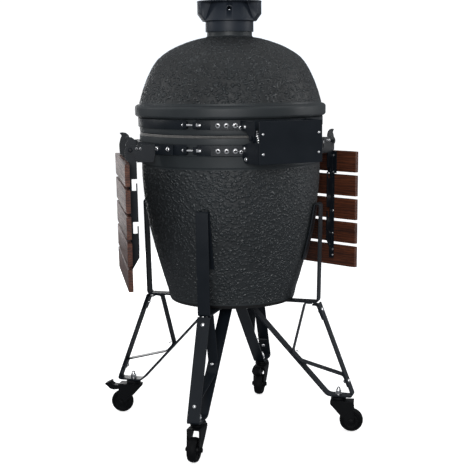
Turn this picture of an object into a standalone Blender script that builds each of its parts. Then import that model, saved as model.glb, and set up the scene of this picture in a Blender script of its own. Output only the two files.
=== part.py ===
"""Kamado ceramic grill in a four-legged wheeled cradle, with two folding side tables.

Units are metres, +Z is up, the cook stands at -Y and the lid hinge is at the rear, +Y.
The origin is on the floor, under the centre of the ceramic bowl.
"""
import math

import bmesh
import bpy
from mathutils import Matrix, Vector

# ---------------------------------------------------------------- driving dimensions
GAP = 0.0003                 # between pieces that touch
SEGMENTS = 40                # facets of the large turned pieces
ARC_STEP = 6.5               # degrees in one facet of a curved strap

BOWL_BASE_Z = 0.3926
BOWL_LIP_Z = 0.8845
BOWL_LIP_R = 0.2680
BOWL_SIDE = ((0.2632, 0.7990), (0.2632, 0.6890), (0.2430, 0.5850), (0.1932, 0.4250))
BOWL_INSIDE = ((0.1550, 0.4226), (0.2050, 0.5650), (0.2352, 0.6700), (0.2352, 0.8000))
INNER_LIP_R = 0.2440

GASKET_H = 0.0030
GASKET_R = 0.2665
LID_LIP_Z = BOWL_LIP_Z + 2 * GASKET_H + 4 * GAP
RIM_R = 0.2803
RIM_BOTTOM_Z = 0.9365
RIM_TOP_Z = 0.9705
RIM_CHAMFER = 0.0060
DOME_SIDE = ((0.2134, 1.0973), (0.2389, 1.0673), (0.2586, 1.0095), (0.2672, 0.9765))
DOME_TOP = ((0.0700, 1.1630), (0.1500, 1.1480), (0.1964, 1.1173), (0.2134, 1.0973))
DOME_INSIDE = ((INNER_LIP_R, LID_LIP_Z), (INNER_LIP_R, 1.0200), (0.2250, 1.1300), (0.0500, 1.1430))
NECK_R = 0.0657
NECK_TOP_Z = 1.1900

UPPER_BAND_Z = (0.9085, 0.9335)
LOWER_BAND_Z = (0.8375, 0.8660)
BAND_R = (0.2686, 0.2718)
SPLIT_ANGLE = 38.9           # centre of the bands' split, degrees from +X
SPLIT_HALF = 3.5
STRAP_R = (0.2728, 0.2758)   # straps bolted on the outside of the bands

HINGE_Y = 0.3180
HINGE_Z = 0.8877
LOWER_CHEEK_X = 0.0970       # middle of each lower cheek plate
UPPER_CHEEK_X = 0.1020
CHEEK_T = 0.0040
PIN_R = 0.0040
REACH_Y = 0.3500             # rear face of the cover, and front of the handle
COVER_T = 0.0030
COVER_HALF_W = 0.0980
COVER_Z = (0.8185, 0.9335)

CROWN_TOP_Z = 1.2662
CROWN_R = 0.0940
COLLAR_R = 0.0700
COLLAR_Z = (1.1780, 1.2083)
CROWN_ANGLE = 62.3           # direction of the crown's round windows, degrees from +X

BAR_W = 0.0360               # the frame's flat bar
BAR_T = 0.0050
SHELF_Z = 0.3895             # middle of the bar under the bowl
UPRIGHT_TOP = (0.2731, 0.6740)
UPRIGHT_BOTTOM = (0.2670, SHELF_Z)
PAD_Z = (0.5160, 0.6740)
FOOT_Z = 0.1100
LEG_TOP = (0.2690, 0.3858)
LEG_OUTER = (0.3735, FOOT_Z)
LEG_INNER = (0.2975, FOOT_Z)
LEG_TAB = ((0.0440, 0.3842), (0.0275, 0.3842))
BRACE_W = 0.0300
BRACE_T = 0.0030
LEG_ANGLES = {"rear_right": 45.0, "rear_left": 135.0, "front_left": 225.0, "front_right": 315.0}

STEM_R_FROM_AXIS = 0.3285
TRAIL = 0.0380
WHEEL_R = 0.0350
TRAIL_ANGLES = {"rear_right": 45.0, "rear_left": 142.0, "front_left": 47.0, "front_right": 320.0}
BRAKED = ("front_left", "front_right")

TABLE_TURN = 18.1            # tables are turned this far towards the front
TABLE_LEAN = 0.55            # bottoms of the hanging tables lean inwards
PIVOT_R = 0.3080
PIVOT_Z = 0.8500
PLANK_COUNT = 5
PLANK_PITCH = 0.0733
PLANK_W = 0.0643
PLANK_T = 0.0140
PLANK_L = 0.4120
PLANK_TOP = -0.0302          # below the pivot
PLANK_X = 0.0090             # inner face, outwards of the pivot
TABLE_SHIFT = 0.0150         # the tables' middle lies this far to the rear
ARM_HALF_SPAN = 0.1170
ARM_T = 0.0040
ARM_INNER_X = -0.0175


# ---------------------------------------------------------------- helpers
def new_collection(name):
    group = bpy.data.collections.new(name)
    bpy.context.scene.collection.children.link(group)
    return group


def new_material(name, colour, roughness, metallic=0.0):
    mat = bpy.data.materials.new(name)
    mat.use_nodes = True
    shader = mat.node_tree.nodes["Principled BSDF"]
    shader.inputs["Base Color"].default_value = (*colour, 1.0)
    shader.inputs["Roughness"].default_value = roughness
    shader.inputs["Metallic"].default_value = metallic
    return mat


def bezier(points, count):
    """Points along a cubic curve, both ends included."""
    p0, p1, p2, p3 = (Vector(p) for p in points)
    curve = []
    for i in range(count + 1):
        t = i / count
        s = 1.0 - t
        curve.append(tuple(p0 * s ** 3 + p1 * 3 * s * s * t + p2 * 3 * s * t * t + p3 * t ** 3))
    return curve


def arc(centre, radius, start, stop, count):
    """Points on an arc in degrees, both ends included."""
    angles = [math.radians(start + (stop - start) * i / count) for i in range(count + 1)]
    return [(centre[0] + radius * math.cos(a), centre[1] + radius * math.sin(a)) for a in angles]


def rounded(path, radius, count=3):
    """An open path with each inner corner replaced by a short curve."""
    smooth = [Vector(path[0])]
    for before, corner, after in zip(path, path[1:], path[2:]):
        corner = Vector(corner)
        back = Vector(before) - corner
        ahead = Vector(after) - corner
        reach = min(radius, back.length * 0.45, ahead.length * 0.45)
        start = corner + back.normalized() * reach
        stop = corner + ahead.normalized() * reach
        for i in range(count + 1):
            t = i / count
            smooth.append(start * (1 - t) ** 2 + corner * 2 * t * (1 - t) + stop * t * t)
    smooth.append(Vector(path[-1]))
    return [tuple(p) for p in smooth]


def bowl_radius(z):
    """Outer radius of the bowl's side at a height."""
    low, high = 0.0, 1.0
    for _ in range(30):
        t = (low + high) / 2
        s = 1.0 - t
        weights = (s ** 3, 3 * s * s * t, 3 * s * t * t, t ** 3)
        height = sum(w * p[1] for w, p in zip(weights, BOWL_SIDE))
        if height > z:
            low = t
        else:
            high = t
    return sum(w * p[0] for w, p in zip(weights, BOWL_SIDE))


def to_object(name, bm):
    mesh = bpy.data.meshes.new(name)
    bm.to_mesh(mesh)
    bm.free()
    obj = bpy.data.objects.new(name, mesh)
    PARTS.objects.link(obj)
    return obj


def turned(name, profile, closed=True, steps=SEGMENTS):
    """A solid of revolution about Z from (radius, height) points."""
    bm = bmesh.new()
    verts = [bm.verts.new((r, 0.0, z)) for r, z in profile]
    pairs = list(zip(verts, verts[1:]))
    if closed:
        pairs.append((verts[-1], verts[0]))
    for pair in pairs:
        bm.edges.new(pair)
    obj = to_object(name, bm)
    screw = obj.modifiers.new("turn", "SCREW")
    screw.steps = steps
    screw.render_steps = steps
    screw.use_merge_vertices = True
    screw.merge_threshold = 0.00001
    return obj


def sector(name, section, start, sweep, step=ARC_STEP):
    """A (radius, height) section swept through part of a turn about Z."""
    bm = bmesh.new()
    verts = [bm.verts.new((r, 0.0, z)) for r, z in section]
    face = bm.faces.new(verts)
    bmesh.ops.rotate(bm, verts=verts, matrix=Matrix.Rotation(math.radians(start), 3, "Z"))
    steps = max(2, round(sweep / step))
    bmesh.ops.spin(bm, geom=[face, *face.edges, *verts], axis=(0, 0, 1), cent=(0, 0, 0),
                   angle=math.radians(sweep), steps=steps)
    bmesh.ops.recalc_face_normals(bm, faces=bm.faces)
    return to_object(name, bm)


def bent_bar(name, path, width, thickness):
    """A flat bar that follows an (outwards, up) path, with its width along Y."""
    bm = bmesh.new()
    left = [bm.verts.new((x, -width / 2, z)) for x, z in path]
    right = [bm.verts.new((x, width / 2, z)) for x, z in path]
    for i in range(len(path) - 1):
        bm.faces.new((left[i], left[i + 1], right[i + 1], right[i]))
    obj = to_object(name, bm)
    shell = obj.modifiers.new("thickness", "SOLIDIFY")
    shell.thickness = thickness
    shell.offset = 0.0
    shell.use_even_offset = True
    return obj


def flat_plate(name, outline, thickness, holes=()):
    """An (x, z) outline with holes, its thickness centred on Y = 0."""
    curve = bpy.data.curves.new(name, "CURVE")
    curve.dimensions = "2D"
    curve.fill_mode = "BOTH"
    curve.extrude = thickness / 2
    for loop in (outline, *holes):
        spline = curve.splines.new("POLY")
        spline.points.add(len(loop) - 1)
        for point, (x, z) in zip(spline.points, loop):
            point.co = (x, z, 0.0, 1.0)
        spline.use_cyclic_u = True
    source = bpy.data.objects.new(name, curve)
    PARTS.objects.link(source)
    obj = applied(source, name)
    obj.data.transform(Matrix.Rotation(math.pi / 2, 4, "X"))
    return obj


def applied(source, name):
    """The evaluated shape of an object as a new mesh object, in place of the old one."""
    evaluated = source.evaluated_get(bpy.context.evaluated_depsgraph_get())
    mesh = bpy.data.meshes.new_from_object(evaluated)
    bm = bmesh.new()
    bm.from_mesh(mesh)
    bmesh.ops.remove_doubles(bm, verts=bm.verts, dist=0.000005)
    bmesh.ops.recalc_face_normals(bm, faces=bm.faces)
    bpy.data.objects.remove(source, do_unlink=True)
    return to_object(name, bm)


def rod(name, radius, start, stop, facets=16):
    """A round rod between two points."""
    start, stop = Vector(start), Vector(stop)
    span = stop - start
    turn = span.to_track_quat("Z", "X").to_matrix().to_4x4()
    bm = bmesh.new()
    bmesh.ops.create_cone(bm, cap_ends=True, segments=facets, radius1=radius, radius2=radius,
                          depth=span.length, matrix=Matrix.Translation((start + stop) / 2) @ turn)
    return to_object(name, bm)


def block(name, low, high):
    """A box between two corners."""
    low, high = Vector(low), Vector(high)
    bm = bmesh.new()
    bmesh.ops.create_cube(bm, size=1.0)
    size = high - low
    bmesh.ops.transform(bm, verts=bm.verts,
                        matrix=Matrix.Translation((low + high) / 2) @ Matrix.Diagonal((*size, 1.0)))
    return to_object(name, bm)


def fuse(name, pieces):
    """One body from overlapping pieces."""
    base, *others = pieces
    for other in others:
        join = base.modifiers.new("join", "BOOLEAN")
        join.operation = "UNION"
        join.solver = "EXACT"
        join.object = other
    whole = applied(base, name)
    for other in others:
        bpy.data.objects.remove(other, do_unlink=True)
    whole.name = name
    return whole


def cut(obj, cutter):
    """Cut one object with another, which is kept as a hidden cutter."""
    if cutter.name not in CUTTERS.objects:
        PARTS.objects.unlink(cutter)
        CUTTERS.objects.link(cutter)
        cutter.hide_render = True
        cutter.display_type = "WIRE"
    hole = obj.modifiers.new("cut", "BOOLEAN")
    hole.operation = "DIFFERENCE"
    hole.solver = "EXACT"
    hole.object = cutter


def soften(obj, width, segments=1):
    """Rounded edges."""
    edge = obj.modifiers.new("edges", "BEVEL")
    edge.width = width
    edge.segments = segments
    edge.limit_method = "ANGLE"


def axis_empty(name, location, rotation=(0.0, 0.0, 0.0), parent=None):
    """An empty on a joint's axis."""
    empty = bpy.data.objects.new(name, None)
    empty.empty_display_size = 0.02
    empty.location = location
    empty.rotation_euler = rotation
    empty.parent = parent
    PARTS.objects.link(empty)
    return empty


def dress(obj, mat, parent=None, keep_place=False):
    """Give a piece its material and shading, and hang it from its axis."""
    obj.data.materials.clear()
    obj.data.materials.append(mat)
    obj.data.shade_smooth()
    obj.data.set_sharp_from_angle(angle=math.radians(35))
    obj.parent = parent
    if keep_place:
        obj.matrix_parent_inverse = Matrix.Translation(-parent.location)
    return obj


# ---------------------------------------------------------------- ceramic
def make_bowl():
    outer = bezier(BOWL_SIDE, 11)
    inner = bezier(BOWL_INSIDE, 7)
    profile = [(0.0, inner[0][1]), *inner, (0.2400, 0.8350), (INNER_LIP_R, BOWL_LIP_Z),
               (BOWL_LIP_R, BOWL_LIP_Z), (0.2675, 0.8675), (0.2675, 0.8360), (0.2655, 0.8350),
               (0.2650, 0.8015), *outer, (0.1885, 0.4033), (0.1850, BOWL_BASE_Z), (0.0, BOWL_BASE_Z)]
    bowl = turned("bowl", profile, closed=False)
    cut(bowl, block("draft_cutter", (-0.0400, -0.2600, 0.4380), (0.0400, -0.1100, 0.4740)))
    return dress(bowl, CERAMIC)


def make_lid(lid_axis):
    outer = bezier(DOME_TOP, 7) + bezier(DOME_SIDE, 6)[1:]
    inner = bezier(DOME_INSIDE, 8)
    edge = RIM_R - RIM_CHAMFER
    profile = [(NECK_R, NECK_TOP_Z), (NECK_R, 1.1640), *outer, (edge, RIM_TOP_Z),
               (RIM_R, RIM_TOP_Z - RIM_CHAMFER), (RIM_R, RIM_BOTTOM_Z + RIM_CHAMFER),
               (edge, RIM_BOTTOM_Z), (0.2675, RIM_BOTTOM_Z - 0.0005), (0.2675, 0.8995),
               (GASKET_R, LID_LIP_Z), *inner, (0.0500, NECK_TOP_Z)]
    lid = turned("lid", profile)
    foot, normal = dome_gauge_place()
    cut(lid, rod("gauge_hole_cutter", 0.0052, foot - normal * 0.060, foot + normal * 0.020, 12))
    return dress(lid, CERAMIC, lid_axis, True)


def dome_gauge_place():
    """Where the thermometer's axis leaves the dome, and its direction."""
    dome = bezier(DOME_SIDE, 6)
    (r1, z1), (r0, z0) = dome[2], dome[3]
    slope = Vector((0.0, -(z1 - z0), r0 - r1)).normalized()
    middle = Vector((0.0, -(r0 + r1) / 2, (z0 + z1) / 2))
    return middle, slope


def make_gaskets(lid_axis):
    low = BOWL_LIP_Z + GAP
    high = low + GASKET_H + 2 * GAP
    for name, z, parent in (("bowl_gasket", low, None), ("lid_gasket", high, lid_axis)):
        ring = [(GASKET_R, z + GASKET_H), (GASKET_R, z), (INNER_LIP_R, z), (INNER_LIP_R, z + GASKET_H)]
        dress(turned(name, ring), FELT, parent, parent is not None)


def make_firebox():
    profile = [(0.2250, 0.8000), (0.2000, 0.6200), (0.1500, 0.4560), (0.1500, 0.4232),
               (0.1300, 0.4232), (0.1300, 0.4850), (0.1180, 0.4900), (0.1180, 0.4980),
               (0.1380, 0.4980), (0.1780, 0.6200), (0.2030, 0.8000)]
    firebox = turned("firebox", profile)
    cut(firebox, bpy.data.objects["draft_cutter"])
    return dress(firebox, CLAY)


def make_grate(name, radius, z, thickness, pitch, slot_width, edge):
    """A round plate with straight slots."""
    circle = arc((0, 0), radius, 0, 360 - 360 / SEGMENTS, SEGMENTS - 1)
    slots = []
    rows = int((radius - edge - slot_width) / pitch)
    for row in range(-rows, rows + 1):
        y = row * pitch
        half = math.sqrt((radius - edge) ** 2 - (abs(y) + slot_width / 2) ** 2)
        slots.append([(-half, y - slot_width / 2), (half, y - slot_width / 2),
                      (half, y + slot_width / 2), (-half, y + slot_width / 2)])
    plate = flat_plate(name, circle, thickness, slots)
    plate.data.transform(Matrix.Translation((0, 0, z)) @ Matrix.Rotation(-math.pi / 2, 4, "X"))
    return dress(plate, CAST_IRON)


# ---------------------------------------------------------------- bands, hinge and handle
def strap_section(z_range, r_range=STRAP_R):
    return [(r_range[1], z_range[1]), (r_range[1], z_range[0]),
            (r_range[0], z_range[0]), (r_range[0], z_range[1])]


def make_band(name, z_range, parent):
    """A split ring with a lug at each side of the split."""
    start = SPLIT_ANGLE + SPLIT_HALF
    sweep = 360 - 2 * SPLIT_HALF
    ring = sector("ring", strap_section(z_range, BAND_R), start, sweep, 8.0)
    middle = sum(z_range) / 2
    lug_z = (middle - 0.0085, middle + 0.0085)
    section = strap_section(lug_z, (BAND_R[1] - 0.0020, BAND_R[1] + 0.0100))
    lug_sweep = 2.0
    lugs = [sector("lug", section, start + 0.4, lug_sweep, 1.0),
            sector("lug", section, start + sweep - lug_sweep - 0.4, lug_sweep, 1.0)]
    return dress(fuse(name, [ring, *lugs]), BLACK_COAT, parent, parent is not None)


def make_clamp_bolt(name, z_range, parent):
    """The bolt that pulls the two ends of a band together."""
    middle = sum(z_range) / 2
    nut_r = 0.0058
    radius = BAND_R[1] + nut_r + 2 * GAP
    half = (radius - nut_r) * math.sin(math.radians(SPLIT_HALF + 0.4)) - 2 * GAP
    spin = math.radians(SPLIT_ANGLE)
    centre = Vector((math.cos(spin), math.sin(spin), 0)) * radius * math.cos(math.radians(SPLIT_HALF))
    centre.z = middle
    along = Vector((-math.sin(spin), math.cos(spin), 0)) * half
    shank = rod("shank", 0.0030, centre - along, centre + along, 12)
    nut = rod("nut", nut_r, centre - along, centre - along * 0.72, 6)
    return dress(fuse(name, [shank, nut]), STEEL, parent, parent is not None)


def cheek_plate(name, outline, x):
    """A plate that stands across the X axis, from a (y, z) outline, with the pin's hole."""
    hole = arc((HINGE_Y, HINGE_Z), PIN_R + GAP, 0, 345, 15)
    plate = flat_plate(name, outline, CHEEK_T, [hole])
    plate.data.transform(Matrix.Translation((x, 0, 0)) @ Matrix.Rotation(math.pi / 2, 4, "Z"))
    return plate


def make_hinge(lid_axis):
    lug = 0.0120
    pin = (HINGE_Y, HINGE_Z)
    inner_y = 0.2560
    lower = [(inner_y, LOWER_BAND_Z[1]), (inner_y, 0.8340), *arc((0.2760, 0.8335), 0.0150, 200, 270, 3),
             (REACH_Y - COVER_T - GAP, COVER_Z[0]), (REACH_Y - COVER_T - GAP, 0.8760),
             (HINGE_Y + 0.0140, 0.8760), *arc(pin, lug, 0, 180, 8), (HINGE_Y - 0.0160, 0.8760)]
    upper = [(inner_y, UPPER_BAND_Z[1]), (inner_y, UPPER_BAND_Z[0]), (0.2900, 0.9050),
             *arc(pin, lug, 190, 350, 7), (0.3360, 0.9050), (0.3360, 0.9330)]
    sweep = 78.0
    for name, outline, x, band, parent in (
            ("hinge_lower_bracket", lower, LOWER_CHEEK_X, LOWER_BAND_Z, None),
            ("hinge_upper_bracket", upper, UPPER_CHEEK_X, UPPER_BAND_Z, lid_axis)):
        strap = sector("strap", strap_section(band), 90 - sweep / 2, sweep)
        cheeks = [cheek_plate("cheek", outline, side * x) for side in (-1, 1)]
        dress(fuse(name, [strap, *cheeks]), BLACK_COAT, parent, parent is not None)
    end = UPPER_CHEEK_X + CHEEK_T / 2 + 0.0020
    dress(rod("hinge_pin", PIN_R, (-end, *pin), (end, *pin)), STEEL)
    cover = block("hinge_cover", (-COVER_HALF_W, REACH_Y - COVER_T, COVER_Z[0]),
                  (COVER_HALF_W, REACH_Y, COVER_Z[1]))
    soften(cover, 0.0006)
    dress(cover, BLACK_COAT)


def make_spring(name, x):
    """A coil between the lid's and the bowl's hinge brackets."""
    top = Vector((x, 0.3130, 0.9120))
    bottom = Vector((x, 0.3400, 0.8740))
    axis = (bottom - top).normalized()
    side = Vector((1, 0, 0))
    across = axis.cross(side)
    turns, per_turn, radius = 8, 8, 0.0046
    count = turns * per_turn
    curve = bpy.data.curves.new(name, "CURVE")
    curve.dimensions = "3D"
    curve.bevel_depth = 0.0009
    curve.bevel_resolution = 1
    curve.use_fill_caps = True
    spline = curve.splines.new("POLY")
    spline.points.add(count)
    for i, point in enumerate(spline.points):
        turn = 2 * math.pi * i / per_turn
        place = top.lerp(bottom, i / count)
        place += (side * math.cos(turn) + across * math.sin(turn)) * radius
        point.co = (*place, 1.0)
    source = bpy.data.objects.new(name, curve)
    PARTS.objects.link(source)
    return dress(applied(source, name), STEEL)


def make_handle(lid_axis):
    eye = (REACH_Y - 0.0170, 0.9210)
    arm_x = 0.1190
    root_y = 0.2466              # inside the strap, clear of the band
    outline = [(root_y, UPPER_BAND_Z[0] + 0.0020), *arc(eye, 0.0135, -90, 90, 6),
               (root_y, UPPER_BAND_Z[1] - 0.0020)]
    strap = sector("strap", strap_section(UPPER_BAND_Z), 270 - 28, 56)
    arms = []
    for side in (-1, 1):
        arm = flat_plate("arm", outline, 0.0050)
        arm.data.transform(Matrix.Translation((side * arm_x, 0, 0)) @ Matrix.Rotation(-math.pi / 2, 4, "Z"))
        arms.append(arm)
    dress(fuse("handle_bracket", [strap, *arms]), BLACK_COAT, lid_axis, True)
    half = arm_x - 0.0025 - GAP
    profile = [(0.0, half), (0.0145, half), (0.0170, half - 0.0040),
               (0.0170, 0.0040 - half), (0.0145, -half), (0.0, -half)]
    grip = turned("handle_grip", profile, closed=False, steps=24)
    grip = applied(grip, "handle_grip")
    grip.data.transform(Matrix.Translation((0, -eye[0], eye[1])) @ Matrix.Rotation(math.pi / 2, 4, "Y"))
    dress(grip, WOOD, lid_axis, True)


def make_thermometer(lid_axis):
    foot, normal = dome_gauge_place()
    profile = [(0.0, 0.0175), (0.0330, 0.0175), (0.0360, 0.0150), (0.0360, 0.0014),
               (0.0040, 0.0014), (0.0040, -0.0650), (0.0, -0.0650)]
    gauge = applied(turned("thermometer", profile, closed=False, steps=24), "thermometer")
    turn = normal.to_track_quat("Z", "X").to_matrix().to_4x4()
    gauge.data.transform(Matrix.Translation(foot) @ turn)
    return dress(gauge, STEEL, lid_axis, True)


# ---------------------------------------------------------------- vents
def make_vent(lid_axis):
    bottom, top = COLLAR_Z
    seat = NECK_TOP_Z + 2 * GAP
    collar = [(COLLAR_R, top), (COLLAR_R, bottom), (NECK_R + 0.0008, bottom), (NECK_R + 0.0008, seat),
              (0.0520, seat), (0.0520, seat + 0.0040), (0.0625, seat + 0.0040), (0.0625, top)]
    dress(turned("vent_collar", collar), IRON_PAINT, lid_axis, True)
    base = top + 2 * GAP
    under = CROWN_TOP_Z - 0.0035
    shell = turned("shell", [(0.0, CROWN_TOP_Z), (CROWN_R, CROWN_TOP_Z), (CROWN_R, under), (0.0605, under),
                             (0.0790, base), (0.0745, base), (0.0560, 1.2590), (0.0, 1.2590)], closed=False)
    grip = [(0.0585, under + 0.0010), (CROWN_R - 0.0005, under + 0.0010), (CROWN_R - 0.0005, 1.2290),
            (0.0792, base + 0.0004), (0.0770, base + 0.0004)]
    grips = [sector("grip", grip, CROWN_ANGLE + side * 90 - 29, 58, 7.25) for side in (-1, 1)]
    crown = fuse("vent_crown", [shell, *grips])
    along = Vector((math.cos(math.radians(CROWN_ANGLE)), math.sin(math.radians(CROWN_ANGLE)), 0)) * 0.1
    middle = Vector((0, 0, 1.2465))
    cut(crown, rod("vent_window_cutter", 0.0075, middle - along, middle + along, 20))
    dress(crown, IRON_PAINT, lid_axis, True)


def flank(z, offset):
    """A point off the bowl's flank, near the draft opening."""
    return (0.1932 + 0.313 * (z - 0.4250) + offset, z)


def make_draft():
    """A curved channel round the air opening, with a door that slides in it."""
    low, high = 0.4280, 0.4860
    rail = 0.0050
    channel = [flank(high, 0.0100), flank(high - rail, 0.0100), flank(high - rail, 0.0036),
               flank(low + rail, 0.0036), flank(low + rail, 0.0100), flank(low, 0.0100),
               flank(low, 0.0014), flank(high, 0.0014)]
    frame = sector("draft_frame", channel, 270 - 17, 60)
    cut(frame, block("window_cutter", (-0.0360, -0.2600, 0.4400), (0.0360, -0.1500, 0.4720)))
    dress(frame, STEEL)
    bottom, top = low + rail + 0.0006, high - rail - 0.0006
    slab = [flank(top, 0.0072), flank(bottom, 0.0072), flank(bottom, 0.0048), flank(top, 0.0048)]
    door = sector("door", slab, 270 - 13, 26)
    knob = rod("knob", 0.0060, (0, -0.2090, 0.4570), (0, -0.2260, 0.4540), 16)
    dress(fuse("draft_door", [door, knob]), STEEL)


# ---------------------------------------------------------------- frame
def make_cradle_straps():
    """Two straps that cross under the bowl, each with a hooked pad at both ends."""
    heights = [PAD_Z[0] + (PAD_Z[1] - PAD_Z[0]) * i / 4 for i in range(5)]
    offset = BAR_T / 2 + 0.0010
    pad = [(bowl_radius(z) + offset, z) for z in heights]
    inner_x = pad[-1][0]
    radius = (UPRIGHT_TOP[0] - inner_x) / 2
    hairpin = arc((inner_x + radius, PAD_Z[1]), radius, 180, 0, 6)[1:]
    for name, angle, drop in (("cradle_strap_a", 45.0, 0.0), ("cradle_strap_b", 135.0, BAR_T + 0.0004)):
        corner = rounded([UPRIGHT_TOP, UPRIGHT_BOTTOM, (0.1000, SHELF_Z)], 0.0080)[1:-1]
        half = pad + hairpin + corner + [(0.0245, SHELF_Z), (0.0195, SHELF_Z - drop)]
        path = half + [(-x, z) for x, z in reversed(half)]
        strap = bent_bar(name, path, BAR_W, BAR_T)
        strap.rotation_euler.z = math.radians(angle)
        dress(strap, BLACK_COAT)


def beside(start, stop, offset, t):
    """A point on a line between two points, moved sideways to its left."""
    start, stop = Vector(start), Vector(stop)
    along = (stop - start).normalized()
    return tuple(start.lerp(stop, t) + Vector((-along.y, along.x)) * offset)


def make_leg(corner, angle):
    path = rounded([LEG_TOP, LEG_OUTER, LEG_INNER, *LEG_TAB], 0.0100)
    leg = bent_bar("leg_" + corner, path, BAR_W, BAR_T)
    cut(leg, rod("stem_cutter_" + corner, 0.0056, (STEM_R_FROM_AXIS, 0, 0.0900),
                 (STEM_R_FROM_AXIS, 0, 0.1300), 16))
    bpy.data.objects["stem_cutter_" + corner].rotation_euler.z = math.radians(angle)
    leg.rotation_euler.z = math.radians(angle)
    dress(leg, BLACK_COAT)
    side = (BAR_T + BRACE_T) / 2 + GAP
    shelf = SHELF_Z - (BAR_T + BRACE_T) / 2 - GAP
    path = [beside(LEG_TOP, LEG_OUTER, -side, 0.89), beside(LEG_TOP, LEG_OUTER, -side, 0.768),
            beside(LEG_INNER, LEG_TAB[0], -side, 0.345), beside(LEG_INNER, LEG_TAB[0], -side, 0.440),
            (0.2262, shelf), (0.2500, shelf)]
    brace = bent_bar("brace_" + corner, rounded(path, 0.0060, 2), BRACE_W, BRACE_T)
    brace.rotation_euler.z = math.radians(angle)
    dress(brace, BLACK_COAT)


# ---------------------------------------------------------------- casters
def make_caster(corner, angle):
    spin = math.radians(angle)
    stem = (STEM_R_FROM_AXIS * math.cos(spin), STEM_R_FROM_AXIS * math.sin(spin), 0.0)
    swivel = axis_empty("swivel_axis_" + corner, stem, (0, 0, math.radians(TRAIL_ANGLES[corner])))
    axle = (TRAIL, WHEEL_R)
    outline = [(-0.0240, 0.0985), (-0.0240, 0.0840), (0.0040, 0.0530),
               *arc(axle, 0.0100, 225, 370, 6), (0.0440, 0.0800), (0.0455, 0.0985)]
    cheeks = []
    for side in (-1, 1):
        cheek = flat_plate("cheek", outline, 0.0025)
        cheek.data.transform(Matrix.Translation((0, side * 0.0178, 0)))
        cheeks.append(cheek)
    top_plate = block("top", (-0.0240, -0.0190, 0.0955), (0.0455, 0.0190, 0.0985))
    housing = rod("housing", 0.0205, (0, 0, 0.0970), (0, 0, FOOT_Z - BAR_T / 2 - 0.0006), 20)
    post = rod("post", 0.0050, (0, 0, 0.1000), (0, 0, 0.1200), 12)
    nut = turned("nut", [(0.0, 0.1350), (0.0045, 0.1335), (0.0072, 0.1290), (0.0080, 0.1230),
                         (0.0088, 0.1225), (0.0088, 0.1130), (0.0, 0.1130)], closed=False, steps=12)
    shaft = rod("shaft", 0.0040, (TRAIL, -0.0225, WHEEL_R), (TRAIL, 0.0225, WHEEL_R), 12)
    fork = fuse("caster_fork_" + corner, [top_plate, *cheeks, housing, post, applied(nut, "nut"), shaft])
    dress(fork, BLACK_COAT, swivel)
    tread = [(0.0300, 0.0140), (0.0338, 0.0105), (WHEEL_R, 0.0045), (WHEEL_R, -0.0045), (0.0338, -0.0105),
             (0.0300, -0.0140), (0.0110, -0.0120), (0.0100, -0.0155), (0.0046, -0.0155),
             (0.0046, 0.0155), (0.0100, 0.0155), (0.0110, 0.0120)]
    wheel = applied(turned("wheel_" + corner, tread, steps=20), "wheel_" + corner)
    wheel.data.transform(Matrix.Rotation(math.pi / 2, 4, "X"))
    wheel.location = (TRAIL, 0, WHEEL_R)
    dress(wheel, RUBBER, swivel)
    if corner in BRAKED:
        make_pedal(corner, swivel)


def make_pedal(corner, swivel):
    """A foot pedal that hinges between the fork's cheeks."""
    hinge = (0.0330, 0.0830)
    pivot = axis_empty("brake_axis_" + corner, (hinge[0], 0, hinge[1]), parent=swivel)
    outline = [(-0.0080, -0.0060), (0.0100, -0.0080), (0.0340, 0.0000), (0.0560, 0.0120),
               (0.0590, 0.0260), (0.0470, 0.0330), (0.0300, 0.0160), (0.0150, 0.0080), (-0.0080, 0.0090)]
    pedal = flat_plate("brake_pedal_" + corner, outline, 0.0260)
    soften(pedal, 0.0008)
    dress(pedal, BLACK_PLASTIC, pivot)


# ---------------------------------------------------------------- side tables
def arm_outline():
    """The hooked head round the pivot, the notched web and its sloping foot."""
    tail = [(-0.0165, 0.0060), (-0.0175, 0.0190), (-0.0140, 0.0290), (-0.0060, 0.0350), (0.0040, 0.0370),
            (0.0130, 0.0355), (0.0080, 0.0290), (0.0070, 0.0250), (0.0100, 0.0200), (0.0130, 0.0100)]
    notches = []
    for top, bottom in ((-0.0824, -0.1150), (-0.2040, -0.2370)):
        notches += [(ARM_INNER_X, top), (-0.0017, top), (-0.0017, bottom), (-0.0138, bottom),
                    (-0.0138, top - 0.0120), (ARM_INNER_X, top - 0.0120)]
    plank_x = PLANK_X - GAP
    foot = [(ARM_INNER_X, -0.3060), (plank_x - 0.0030, -0.3440), (plank_x - 0.0030, -0.0320),
            (0.0140, -0.0280), (0.0150, 0.0)]
    return tail[::-1] + [(ARM_INNER_X, -0.0120)] + notches + foot


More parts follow.
